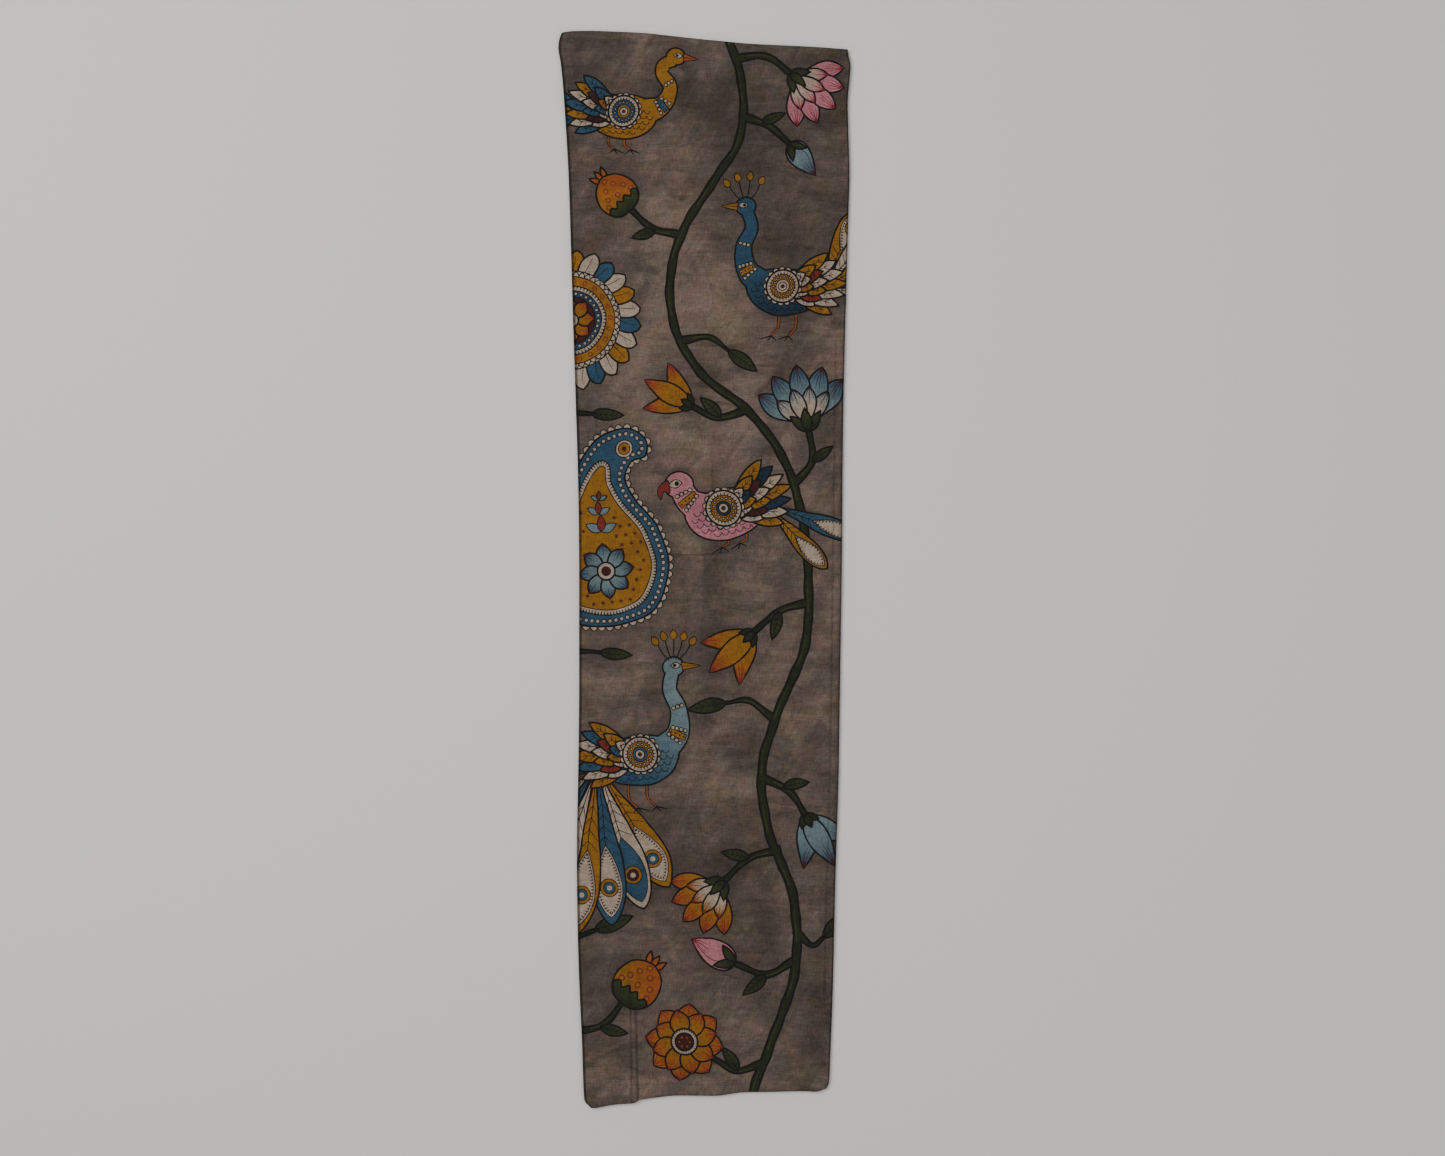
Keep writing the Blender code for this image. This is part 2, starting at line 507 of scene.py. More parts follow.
@dataclass(frozen=True)
class Bloom:
    """What a branch ends in, drawn upwards from the stem's end."""

    brush: Brush
    size: float
    dyes: Dyes

    def rosette(self) -> None:
        """Lays a round open flower: two rings of eight petals and a dotted eye."""
        radius, brush = self.size / 2, self.brush.at(0, self.size * 0.40)
        brush.lay_whorl(radius, radius * 0.62, self.dyes, 0.62, 22.5)
        brush.lay_whorl(radius * 0.84, radius * 0.50, self.dyes, 0.6)
        brush.draw(disc(radius * 0.34), Dye.CREAM)
        brush.ticks(circled(disc(radius * 0.335)), radius * 0.07, 3.0)
        brush.draw(disc(radius * 0.23), Dye.MAROON)
        brush.dots(circle(radius * 0.13, 6), 1.0, Dye.MUSTARD)

    def carnation(self) -> None:
        """Lays a flower from the side: a fan of petals over paler ones and three sepals."""
        size, brush = self.size, self.brush
        for turn in (-58, 58, -30, 30, 0):
            length = size * (0.80 + 0.10 * math.cos(math.radians(turn)))
            tool = brush.at(0, size * 0.08, turn=-turn * 0.9)
            tool.lay_petal(length, size * 0.30, self.dyes, -turn / 90 * size * 0.10, 0.66, 4)
        inner = Dyes(Dye.CREAM, self.dyes.petal, self.dyes.stroke)
        for turn in (-40, 40, -13, 13):
            brush.at(0, size * 0.06, turn=turn).lay_petal(size * 0.60, size * 0.22, inner, 0, 0.6, 3)
        for turn in (-42, 42, 0):
            brush.draw(turned(petal(size * 0.34, size * 0.15, fullest=0.4), turn), greens(0, size * 0.3))

    def bell(self) -> None:
        """Lays a hanging flower: three long petals that open from a small green cap."""
        size, brush = self.size, self.brush
        for side in (1, -1, 0):
            tool = brush.at(0, size * 0.04, turn=-19.5 * side)
            tool.lay_petal(size * (0.88 if side else 1.0), size * 0.38, self.dyes, side * size * 0.2, 0.42)
        for turn in (-40, 40, 0):
            brush.draw(turned(petal(size * 0.26, size * 0.13), turn), Dye.GREEN)

    def bud(self) -> None:
        """Lays a closed bud between two sepals."""
        size, brush = self.size, self.brush
        brush.lay_petal(size, size * 0.56, self.dyes, size * 0.08, 0.36)
        brush.line([(0, size * 0.1), (-size * 0.13, size * 0.45), (0, size * 0.86)], 1.0, 0.5)
        for side in (-1, 1):
            sepal = petal(size * 0.44, size * 0.17, -side * size * 0.05)
            brush.draw(turned(sepal, 24 * side), greens(0, size * 0.4))

    def fruit(self) -> None:
        """Lays a round fruit with rings, a toothed crown and a green cup at its stalk."""
        size, brush, dyes = self.size, self.brush, self.dyes
        for side in (-1, 1, 0):
            tooth = turned(petal(size * 0.29, size * 0.12), 24 * side) + (-0.07 * side * size, size * 0.86)
            brush.draw(tooth, Dye.ORANGE)
        half = np.array([(0, 0), (0.34, 0.10), (0.46, 0.42), (0.34, 0.76), (0.10, 0.92)])
        body = smooth(np.vstack([half, half[:0:-1] * (-1, 1)]), closed=True, step=0.05) * size
        brush.draw(body, Blend(dyes.petal, dyes.tip, (-size * 0.2, 0), (size * 0.5, size * 0.6)))
        spots = ((-0.22, 0.50), (0.02, 0.44), (0.26, 0.52), (-0.12, 0.68),
                 (0.12, 0.69), (0.0, 0.84), (-0.32, 0.36), (0.32, 0.34))
        brush.rings(np.array(spots) * size, size * 0.066, Dye.RED, dyes.petal)
        half = np.array([(0, -0.02), (0.26, 0.03), (0.40, 0.22), (0.30, 0.31), (0.20, 0.22),
                         (0.10, 0.33), (0, 0.24)])
        cup = smooth(np.vstack([half, half[-2:0:-1] * (-1, 1)]), closed=True, step=0.05) * size
        brush.draw(cup, greens(0, size * 0.3))

    def leaf(self) -> None:
        """Lays a leaf at the stem's end."""
        self.brush.lay_leaf(self.size, self.size * 0.36)


@dataclass(frozen=True)
class Branch:
    """A stem and what it ends in, which is nothing for one that runs off the cloth.

    A sprig is a leaf on the stem: its share of the way along, its side, and its length.
    """

    path: tuple[Pair, ...]
    bloom: Callable[[Bloom], None] | None = None
    size: float = 0.0
    dyes: Dyes = GOLDEN
    sprig: tuple[float, int, float] | None = None
    root_width: float = 7.6
    tip_width: float = 5.2


def heading(run: Points) -> float:
    """The turn in degrees that points a motif's own upward way along a run."""
    return math.degrees(math.atan2(run[1], run[0])) - 90


@dataclass(frozen=True)
class Creeper:
    """Stems that join inside one outline, with their leaves and blooms."""

    branches: tuple[Branch, ...]
    streak_length: int = 9
    streak_every: int = 14

    def paint(self, brush: Brush) -> None:
        """Lays every stem, a paler streak along each, and then the leaves and blooms.

        A stem's half width falls evenly from root to tip and swells a little as a sine along it.

        Args:
            brush: The brush.
        """
        paths = [smooth(branch.path, step=4.5) for branch in self.branches]
        bands, streaks = [], []
        for branch, path in zip(self.branches, paths):
            half = np.linspace(branch.root_width, branch.tip_width, len(path)) / 2
            bands.append(ribbon(path, half + 0.35 * np.sin(np.arange(len(path)) * 0.9)))
            streaks.append(path + sideways(path) * (half * 0.22)[:, None])
        brush.draw_joined(bands, Dye.GREEN, 2.2)
        for streak in streaks:
            for start in range(3, len(streak) - self.streak_length, self.streak_every):
                brush.line(streak[start:start + self.streak_length:2], 1.9, 0.5, Dye.LEAF, 5.0)
        for branch, path in zip(self.branches, paths):
            if branch.sprig:
                share, side, length = branch.sprig
                at = min(int(share * (len(path) - 1)), len(path) - 2)
                tool = brush.at(*path[at], turn=heading(path[at + 1] - path[at]) + side * 52)
                tool.lay_leaf(length, length * 0.40, side * length * 0.12)
            if branch.bloom:
                tool = brush.at(*path[-1], turn=heading(path[-1] - path[-3]))
                branch.bloom(Bloom(tool, branch.size, branch.dyes))


def winding(points: Points, tails: Points, heads: Points) -> Points:
    """How often directed edges turn round each point: the upward ones to its right less the downward.

    Args:
        points: Places, one row each.
        tails: Where each edge starts.
        heads: Where each edge ends.

    Returns:
        The count at each place, which is above zero inside a counter-clockwise outline.
    """
    x, y = points[:, :1], points[:, 1:]
    below, above = tails[:, 1] <= y, heads[:, 1] <= y
    side = (heads[:, 0] - tails[:, 0]) * (y - tails[:, 1]) - (x - tails[:, 0]) * (heads[:, 1] - tails[:, 1])
    return np.sum(below & ~above & (side > 0), axis=1) - np.sum(~below & above & (side < 0), axis=1)


def held(points: Points, outline: Points) -> Points:
    """Which points an outline turns round."""
    return winding(points, outline, np.roll(outline, -1, axis=0)) != 0


def topmost(centres: Points, shapes: list[Points]) -> Points:
    """Finds the last shape that holds each centre.

    Args:
        centres: Places, one row each.
        shapes: Outlines in painter's order.

    Returns:
        The shape's number at each place, or -1 where none holds it.
    """
    order = np.argsort(centres[:, 1])
    height = centres[order, 1]
    found = np.full(len(centres), -1)
    for number, shape in enumerate(shapes):
        low, high = shape.min(axis=0), shape.max(axis=0)
        rows = order[np.searchsorted(height, low[1]):np.searchsorted(height, high[1])]
        rows = rows[(centres[rows, 0] > low[0]) & (centres[rows, 0] < high[0])]
        if len(rows):
            inside = winding(centres[rows], shape, np.roll(shape, -1, axis=0)) > 0
            found[rows[inside]] = number
    return found


@dataclass(frozen=True)
class Mango:
    """A curled mango shape in bands, with a flower in its heart and stars on its ground.

    The outlines of its rim and of its ground are shares of its height.
    """

    height: float
    rim: tuple[Pair, ...] = (
        (0.00, -0.50), (0.28, -0.43), (0.42, -0.16), (0.38, 0.12), (0.27, 0.30), (0.21, 0.46), (0.27, 0.57),
        (0.37, 0.60), (0.38, 0.71), (0.26, 0.80), (0.06, 0.75), (-0.12, 0.55), (-0.28, 0.26), (-0.39, -0.02),
        (-0.40, -0.26), (-0.26, -0.44))
    ground: tuple[Pair, ...] = (
        (0.00, -0.39), (0.20, -0.34), (0.305, -0.14), (0.27, 0.09), (0.16, 0.27), (0.085, 0.44), (0.09, 0.56),
        (0.03, 0.55), (-0.06, 0.44), (-0.18, 0.21), (-0.28, -0.03), (-0.285, -0.22), (-0.19, -0.34))

    def paint(self, brush: Brush) -> None:
        """Lays lobes, a beaded band, a combed band and the starred ground, and then its flowers.

        Args:
            brush: The brush, at its middle.
        """
        height = self.height
        outline = smooth(self.rim, closed=True, step=0.018) * height
        inner = counter_clockwise(smooth(self.ground, closed=True, step=0.018) * height)
        brush.lobes(circled(swollen(outline, -0.6))[::-1], 5.6, 8.4)
        brush.draw(outline, Dye.BLUE)
        brush.beads(circled(swollen(outline, -height * 0.036)), height * 0.0145, height * 0.040)
        brush.draw(swollen(inner, height * 0.034), Dye.CREAM, 1.1)
        brush.ticks(circled(swollen(inner, height * 0.030)), height * 0.026, height * 0.021)
        brush.draw(inner, Dye.MUSTARD, 1.1)
        self.scatter(brush, swollen(inner, -height * 0.028))
        curl = brush.at(0.235 * height, 0.665 * height)
        curl.target((height * 0.058, Dye.CREAM, 1.1), (height * 0.040, Dye.MUSTARD, 1.0),
                    (height * 0.017, Dye.MAROON, 0))
        heart = brush.at(0.0, -0.13 * height)
        heart.lay_whorl(height * 0.185, height * 0.10, AZURE, 0.6)
        heart.target((height * 0.058, Dye.CREAM, PEN_WIDTH), (height * 0.030, Dye.MAROON, 0.9))
        for x, y, size in ((0.005, 0.135, 0.115), (0.005, 0.255, 0.085), (0.02, 0.345, 0.06)):
            small = petal(size * height, size * height * 0.5)
            for turn, dye in ((-62, Dye.PALE_BLUE), (62, Dye.PALE_BLUE), (0, Dye.RED)):
                brush.at(x * height, y * height, turn=turn - 6).draw(small, dye, 1.1)

    def scatter(self, brush: Brush, border: Points) -> None:
        """Lays small stars on the mustard ground, where they clear its border and its flowers.

        Args:
            brush: The brush, at the shape's middle.
            border: The outline inside which a star's middle has to lie.
        """
        height = self.height
        step = height * 0.062
        for row, y in enumerate(np.arange(-0.34 * height, 0.34 * height, step)):
            for x in np.arange(-0.3 * height + (row % 2) * step / 2, 0.3 * height, step):
                in_heart = math.hypot(x, y + 0.13 * height) <= 0.205 * height
                in_flowers = abs(x) < 0.085 * height and y > 0.05 * height
                if not in_heart and not in_flowers and held(np.array([(x, y)]), border)[0]:
                    brush.star(x, y, 2.3, Dye.MAROON)


@dataclass(frozen=True)
class Medallion:
    """A round ornament in rings: feathers, lobes, a comb, beads and a flower."""

    radius: float
    feathers: tuple[Dye, ...] = (Dye.MUSTARD, Dye.CREAM, Dye.BLUE, Dye.CREAM)
    feather_count: int = 24

    def paint(self, brush: Brush) -> None:
        """Lays its rings from the outermost to the heart.

        Args:
            brush: The brush, at its middle.
        """
        radius = self.radius
        for k, tool in enumerate(brush.around(self.feather_count)):
            tool.draw(petal(radius, radius * 0.27, radius * 0.16, 0.80, 0.7), self.feathers[k % 4])
            rib = [(0, radius * 0.6), (radius * 0.10, radius * 0.80), (radius * 0.14, radius * 0.93)]
            tool.line(rib, 0.9, 0.5)
        self.ring(brush, 0.71, Dye.CREAM)
        brush.lobes(circled(disc(radius * 0.63))[::-1], radius * 0.068, radius * 0.085)
        self.ring(brush, 0.63, Dye.MUSTARD)
        brush.rings(circle(radius * 0.565, 22), radius * 0.038, Dye.RED, Dye.MUSTARD)
        self.ring(brush, 0.50, Dye.CREAM)
        brush.ticks(circled(disc(radius * 0.495)), radius * 0.048, radius * 0.052)
        self.ring(brush, 0.435, Dye.BLUE)
        brush.beads(circled(disc(radius * 0.39)), radius * 0.026, radius * 0.078)
        self.ring(brush, 0.345, Dye.MAROON)
        brush.lay_whorl(radius * 0.33, radius * 0.20, GOLDEN, 0.62)
        brush.target((radius * 0.10, Dye.CREAM, PEN_WIDTH), (radius * 0.045, Dye.MAROON, 0))

    def ring(self, brush: Brush, share: float, dye: Dye) -> None:
        """Lays an outlined disc, of which later rings leave only the rim."""
        brush.draw(disc(self.radius * share), dye, 1.2)


class Feather(NamedTuple):
    """A tail feather: its turn from straight back, its size, its dye, and whether it has an eye."""

    turn: float
    length: float
    width: float
    dye: Dye
    eyed: bool = True

    def paint(self, brush: Brush) -> None:
        """Lays a vane with barbs, a combed inner vane and a ringed eye near its tip.

        Args:
            brush: The brush, at its root.
        """
        length, width = self.length, self.width
        inner, eye = (Dye.BLUE, Dye.MAROON) if self.dye is Dye.CREAM else (Dye.CREAM, Dye.BLUE)
        brush.draw(petal(length, width, fullest=0.72, blunt=0.7), self.dye)
        brush.line([(0, length * 0.04), (0, length * 0.50)], 1.0)
        for share in (0.24, 0.31, 0.38, 0.45):
            brush.barbs((0, length * share), width * 0.36 * share / 0.5, length * 0.06, 0.9, 0.5)
        blade = brush.at(0, length * 0.50)
        blade.draw(petal(length * 0.45, width * 0.78, fullest=0.58, blunt=0.7), inner, 1.0)
        if inner is Dye.CREAM:
            rim = petal(length * 0.41, width * 0.66, fullest=0.58, blunt=0.7) + (0, length * 0.02)
            blade.ticks(circled(rim), width * 0.09, 3.2)
        if self.eyed:
            tip = brush.at(0, length * 0.765)
            tip.target((width * 0.26, Dye.MUSTARD, 1.0), (width * 0.17, eye, 0.9),
                       (width * 0.08, Dye.CREAM, 0))


def fan(turns: Sequence[float], length: float, width: float, dyes: Sequence[Dye],
        curl: float) -> tuple[Feather, ...]:
    """Tail feathers at turns to both sides and straight back, the outer ones first and cut shorter."""
    order = [side * turn for turn in turns for side in (-1, 1)] + [0]
    return tuple(Feather(turn, length * (1 - curl * abs(turn) / 90), width, dyes[k % len(dyes)])
                 for k, turn in enumerate(order))


@dataclass(frozen=True)
class Bird:
    """A bird seen from the side, facing left, about 100 mm from breast to rump."""

    body: tuple[Dye, Dye]
    wing: tuple[Dye, Dye, Dye]
    neck: tuple[Pair, ...] = ((-18, 4), (-36, 20), (-40, 44), (-33, 64), (-38, 82))
    neck_width: tuple[float, ...] = (15, 11.5, 8.5, 7, 6.5)
    head: float = 9.5
    beak: Dye = Dye.MUSTARD
    hooked: bool = False
    crest: int = 0
    tail: tuple[Feather, ...] = ()
    tail_turn: float = 0.0
    rump: Pair = (40, 0)
    shank: float = 24.0
    bead_bands: tuple[float, ...] = (0.22, 0.36, 0.60)
    stripe: float = 0.29
    trunk: tuple[Pair, ...] = ((-36, 6), (-28, -15), (-6, -26), (22, -23), (44, -9), (54, 6), (38, 17),
                               (10, 22), (-18, 20))

    def paint(self, brush: Brush) -> None:
        """Lays the tail, the legs, the body with its neck and head, its scales, collar and wing.

        Args:
            brush: The brush, at the bird's own middle.
        """
        for feather in self.tail:
            feather.paint(brush.at(*self.rump, turn=self.tail_turn + feather.turn - 90))
        self.paint_legs(brush)
        path = smooth(self.neck)
        shares = np.linspace(0, 1, len(self.neck_width))
        spread = np.interp(np.linspace(0, 1, len(path)), shares, self.neck_width)
        centre = path[-1] + (-1.5, 4.0)
        skull = disc(self.head) * (1.12, 1.0) + centre
        parts = [smooth(self.trunk, closed=True), ribbon(path, spread), skull]
        brush.draw_joined(parts, Blend(*self.body, (-30, 50), (20, -16)))
        self.paint_scales(brush)
        self.paint_collar(brush, path, spread)
        self.paint_head(brush.at(*centre))
        self.paint_wing(brush.at(2, 4))

    def paint_legs(self, brush: Brush) -> None:
        """Lays two legs with their toes.

        Args:
            brush: The brush.
        """
        for x in (-2, 16):
            foot = (x - 6, -24 - self.shank)
            shin = [(x, -20), (x + 1, -24 - self.shank * 0.6), foot]
            brush.line(shin, 3.8, 2.8)
            brush.line(shin, 1.8, 1.2, Dye.ORANGE)
            for toe in (-11, -4, 5):
                brush.line([foot, (foot[0] + toe, foot[1] - 6 + abs(toe) * 0.2)], 1.8, 0.9)

    def paint_scales(self, brush: Brush) -> None:
        """Draws rows of small round scales over the breast and the belly.

        Args:
            brush: The brush.
        """
        scale = np.array([(-3.4, 1.4), (-2.2, -1.4), (0, -2.4), (2.2, -1.4), (3.4, 1.4)])
        for row, y in enumerate((-19, -13, -7, -1, 5)):
            for x in np.arange(-31 + 3.6 * (row % 2), 40, 7.2):
                if ((x - 6) / 44) ** 2 + ((y + 1) / 25) ** 2 < 0.76:
                    brush.line(scale + (x, y), 0.85, step=2.6)

    def paint_collar(self, brush: Brush, path: Points, spread: Points) -> None:
        """Lays bands across the neck: a dotted stripe and rows of beads.

        Args:
            brush: The brush.
            path: The neck's middle line.
            spread: Half the neck's width along it.
        """
        reach = sideways(path) * spread[:, None]
        for share in (self.stripe, *self.bead_bands):
            at = int(share * (len(path) - 1))
            across = path[at] + reach[at] * np.array([[-0.78], [0.0], [0.78]])
            if share == self.stripe:
                brush.draw(ribbon(across, 3.0), self.wing[0], 1.0)
                brush.dots(along(across, 4.6)[0], 1.0, Dye.MAROON)
            else:
                brush.beads(across, 2.0, 4.4)

    def paint_head(self, brush: Brush) -> None:
        """Lays the crest, the beak and the eye.

        Args:
            brush: The brush, at the middle of the head.
        """
        head = self.head
        for share in np.linspace(-1, 1, self.crest):
            way = rotation(96 - 36 * share)[:, 0]
            root, tip = head * 0.8 * way, (head + 17) * way
            brush.line([root, (root + tip) / 2 + (1.5 * share, 0), tip], 1.3)
            brush.at(*tip, turn=6 - 36 * share).draw(petal(10, 7), Dye.MUSTARD, 1.0)
        if self.hooked:
            hook = [(-0.75, 0.5), (-1.35, 0.35), (-1.7, -0.15), (-1.55, -0.75), (-1.25, -0.25), (-0.8, -0.45)]
            brush.draw(smooth(np.array(hook) * head, closed=True, step=1.6), self.beak, 1.1)
        else:
            bill = np.array([(-0.85, 0.42), (-2.3, 0.05), (-2.7, -0.12), (-2.2, -0.25), (-0.9, -0.45)])
            brush.draw(bill * head, self.beak, 1.1)
            brush.line([(-0.9 * head, 0), (-2.4 * head, -0.1 * head)], 0.8, 0.4)
        eye = brush.at(-0.12 * head, 0.12 * head)
        almond = turned(petal(head * 1.05, head * 0.62, fullest=0.5), 90) + (head * 0.40, 0)
        eye.draw(almond, Dye.CREAM, 1.0)
        eye.fill(disc(head * 0.19), Dye.PEN)

    def paint_wing(self, brush: Brush) -> None:
        """Lays long two-tone quills, two rows of coverts over them, and a ringed shoulder.

        Args:
            brush: The brush, at the shoulder.
        """
        first, second, third = self.wing
        rows = (((-40, -29, -18, -7, 4, 15, 26), 68, 13.5, (first, Dye.CREAM, second)),
                ((-42, -29, -16, -3, 10, 22), 49, 12.5, (Dye.CREAM, third, first)),
                ((-44, -28, -12, 4, 18), 34, 11.5, (second, Dye.CREAM, first)))
        for turns, length, width, dyes in rows:
            for k, turn in enumerate(turns):
                quill = brush.at(turn=turn - 80)
                reach = length - abs(turn + 7) * 0.28
                quill.draw(petal(reach, width, -2.0, fullest=0.64), dyes[k % 3])
                quill.line([(0, reach * 0.45), (-1.2, reach * 0.84)], 1.0, 0.6)
                for share in (0.66, 0.76):
                    quill.barbs((-0.8, reach * share), width * 0.28, reach * 0.07, 0.8, 0.5)
        brush.lobes(circled(disc(17.0))[::-1], 3.4, 6.2)
        brush.draw(disc(17.0), Dye.CREAM)
        brush.ticks(circled(disc(12.9))[::-1], 3.2, 3.0)
        brush.draw(disc(12.6), first, 1.0)
        brush.beads(circled(disc(9.9)), 1.25, 4.1)
        brush.target((7.2, second, 1.0), (4.6, Dye.CREAM, 1.0), (2.3, Dye.MAROON, 0))


CREEPER = Creeper((
    Branch(((44, -650), (50, -575), (74, -505), (98, -432), (96, -352), (70, -282), (62, -215), (80, -150),
            (108, -82), (112, -10), (104, 62), (84, 122), (46, 172), (0, 208), (-30, 256), (-36, 312),
            (-22, 364), (8, 412), (38, 462), (40, 522), (22, 582), (14, 650)), root_width=8.8, tip_width=7.4),
    Branch(((64, -532), (36, -540), (8, -526)), Bloom.rosette, 84, GOLDEN, (0.5, -1, 30)),
    Branch(((99, -420), (66, -436), (34, -424)), Bloom.bud, 54, ROSY, (0.55, 1, 32)),
    Branch(((98, -388), (116, -404), (128, -396)), Bloom.leaf, 40, tip_width=3),
    Branch(((82, -300), (48, -310), (22, -334)), Bloom.carnation, 64, GOLDEN, (0.5, -1, 30)),
    Branch(((62, -222), (92, -238), (108, -262)), Bloom.bell, 62, AZURE, (0.45, 1, 28)),
    Branch(((76, -160), (48, -140), (24, -142)), Bloom.leaf, 42, tip_width=3),
    Branch(((112, -34), (80, -44), (54, -66)), Bloom.bell, 62, GOLDEN, (0.5, 1, 30)),
    Branch(((96, 92), (116, 118), (112, 150)), Bloom.carnation, 72, AZURE, (0.5, -1, 26)),
    Branch(((46, 172), (14, 164), (-12, 176)), Bloom.bell, 56, GOLDEN, (0.5, -1, 30)),
    Branch(((-24, 246), (4, 250), (26, 236)), Bloom.leaf, 38, tip_width=3),
    Branch(((-24, 358), (-56, 366), (-78, 386)), Bloom.fruit, 48, GOLDEN, (0.5, 1, 26)),
    Branch(((42, 484), (70, 474), (90, 456)), Bloom.bud, 44, AZURE, (0.45, 1, 26)),
    Branch(((34, 546), (66, 548), (92, 530)), Bloom.carnation, 62, ROSY),
))

SIDE_STEM = Creeper((
    Branch(((-190, -470), (-150, -494), (-112, -492), (-88, -466)), Bloom.fruit, 56, GOLDEN, (0.72, -1, 30)),
    Branch(((-190, -392), (-150, -398), (-118, -388)), Bloom.leaf, 44, root_width=7.0, tip_width=3),
    Branch(((-190, 150), (-152, 168), (-120, 168)), Bloom.leaf, 34, root_width=7.4, tip_width=3),
    Branch(((-190, -48), (-150, -82), (-112, -88)), Bloom.leaf, 34, root_width=7.4, tip_width=3),
))

PEACOCK = Bird(
    body=(Dye.PALE_BLUE, Dye.BLUE), wing=(Dye.MUSTARD, Dye.BLUE, Dye.RED), crest=5, tail_turn=-64,
    rump=(44, -2),
    tail=fan((50, 37.5, 25, 12.5), 178, 34, (Dye.MUSTARD, Dye.BLUE, Dye.CREAM), curl=0.4))
HERON = Bird(
    body=(Dye.BLUE, Dye.DEEP_BLUE), wing=(Dye.MUSTARD, Dye.CREAM, Dye.RED), crest=4, tail_turn=34,
    tail=fan((30, 15), 112, 30, (Dye.CREAM, Dye.MUSTARD, Dye.BLUE), curl=0.4))
PARROT = Bird(
    body=(Dye.PINK, Dye.PINK), wing=(Dye.MUSTARD, Dye.DEEP_BLUE, Dye.MAROON), hooked=True, beak=Dye.RED,
    neck=((-16, 6), (-28, 18), (-33, 32)), neck_width=(16, 13, 11), head=12.5, shank=8, tail_turn=-46,
    bead_bands=(0.50, 0.86), stripe=0.68,
    tail=(Feather(-14, 88, 19, Dye.MUSTARD, False), Feather(12, 100, 19, Dye.BLUE, False)))
GOOSE = Bird(
    body=(Dye.MUSTARD, Dye.MUSTARD), wing=(Dye.BLUE, Dye.MUSTARD, Dye.MAROON), beak=Dye.ORANGE, shank=14,
    neck=((-18, 4), (-40, 14), (-48, 34), (-38, 48), (-38, 58), (-50, 64)),
    neck_width=(15, 12, 8.5, 7.5, 7, 7),
    tail=(Feather(-22, 62, 20, Dye.BLUE, False), Feather(22, 62, 20, Dye.BLUE, False),
          Feather(0, 76, 21, Dye.MUSTARD, False)))


def paint_cloth(painting: Painting) -> None:
    """Lays the whole painting: the underside's plainer creeper first, and then what the top shows.

    Args:
        painting: The empty painting.
    """
    brush = Brush(painting)
    plain = Brush(painting, fine=False)
    CREEPER.paint(plain.at(-270, 70, flip=True))
    Mango(150).paint(plain.at(-330, -300, turn=-14))
    CREEPER.paint(brush)
    SIDE_STEM.paint(brush)
    Medallion(74).paint(brush.at(-142, 268, turn=4))
    PEACOCK.paint(brush.at(-66, -202, turn=6, size=1.10, flip=True))
    Mango(160).paint(brush.at(-108, 20, turn=8))
    PARROT.paint(brush.at(20, 62, turn=14, size=1.12))
    HERON.paint(brush.at(82, 300, turn=-2, size=1.02))
    GOOSE.paint(brush.at(-84, 486, turn=-4, size=0.96, flip=True))
    log.info("painting: %d shapes, %d points", len(painting.shapes), sum(map(len, painting.shapes)))


def table(*rows: tuple[float, ...]) -> Points:
    """A table of numbers, one row for each group."""
    return np.array(rows, float)


# Share of the way from the foot end to the head end, and the x of the left and of the right edge there.
WIDTHS = table(
    (0.000, -124.0, 132.0), (0.004, -129.0, 134.6), (0.012, -130.4, 135.5), (0.030, -131.2, 136.2),
    (0.060, -132.2, 137.5), (0.100, -134.3, 139.0), (0.150, -136.2, 140.2), (0.200, -137.2, 141.4),
    (0.250, -137.3, 143.0), (0.310, -135.8, 144.9), (0.380, -134.6, 145.9), (0.450, -134.4, 147.0),
    (0.520, -134.3, 148.0), (0.590, -135.3, 148.4), (0.660, -137.6, 149.2), (0.720, -139.8, 150.6),
    (0.780, -141.7, 152.3), (0.840, -143.6, 154.1), (0.880, -145.3, 155.3), (0.920, -148.0, 154.1),
    (0.950, -150.3, 153.3), (0.972, -152.8, 155.3), (0.985, -155.3, 156.2), (0.994, -154.4, 154.1),
    (1.000, -151.8, 153.3))

# Percent of the way from the left edge to the right one, and how far the foot's and the head's edge
# lie past a straight end there.
ENDS = table(
    (0, -2.5, -4.0), (3, -4.9, -1.8), (7, -3.8, -0.7), (12, -2.7, 0.3), (20, -2.4, 1.1), (22, 0.2, 1.2),
    (30, 1.7, 1.3), (37, 2.2, 0.3), (46, 0.6, -1.0), (55, -1.2, -2.0), (65, 0.5, -2.9), (78, -1.4, -2.5),
    (90, -3.0, -2.1), (96, -4.6, -2.3), (100, -1.7, -2.5))

# Soft rises where the folded cloth doesn't lie quite flat: middle, reach both ways, and height.
SWELLS = table(
    (-110, -535, 34, 60, 1.2), (-76, -545, 10, 90, 1.1), (20, -520, 55, 55, 0.8), (85, -330, 60, 110, 1.0),
    (-70, -250, 55, 100, 0.9), (0, -60, 80, 70, 1.0), (-85, 110, 50, 90, 0.9), (65, 170, 70, 90, 1.3),
    (-20, 360, 70, 90, 1.0), (110, 490, 45, 60, 1.5), (-125, 520, 35, 50, 1.4))

# Where the ground's wash is paler, or darker below zero: middle, reach both ways, and how much.
WASHES = table(
    (-60, 310, 85, 80, 0.40), (20, 228, 110, 60, 1.20), (55, 120, 75, 75, 0.36), (120, 20, 50, 100, 0.50),
    (-110, 60, 45, 120, -0.10), (118, -225, 40, 60, 0.70), (-10, -222, 80, 45, 0.28),
    (-20, -320, 110, 60, -0.18), (-110, -420, 50, 90, -0.14), (125, -480, 35, 90, -0.18),
    (25, -515, 70, 60, 0.72), (20, 510, 120, 70, -0.18))


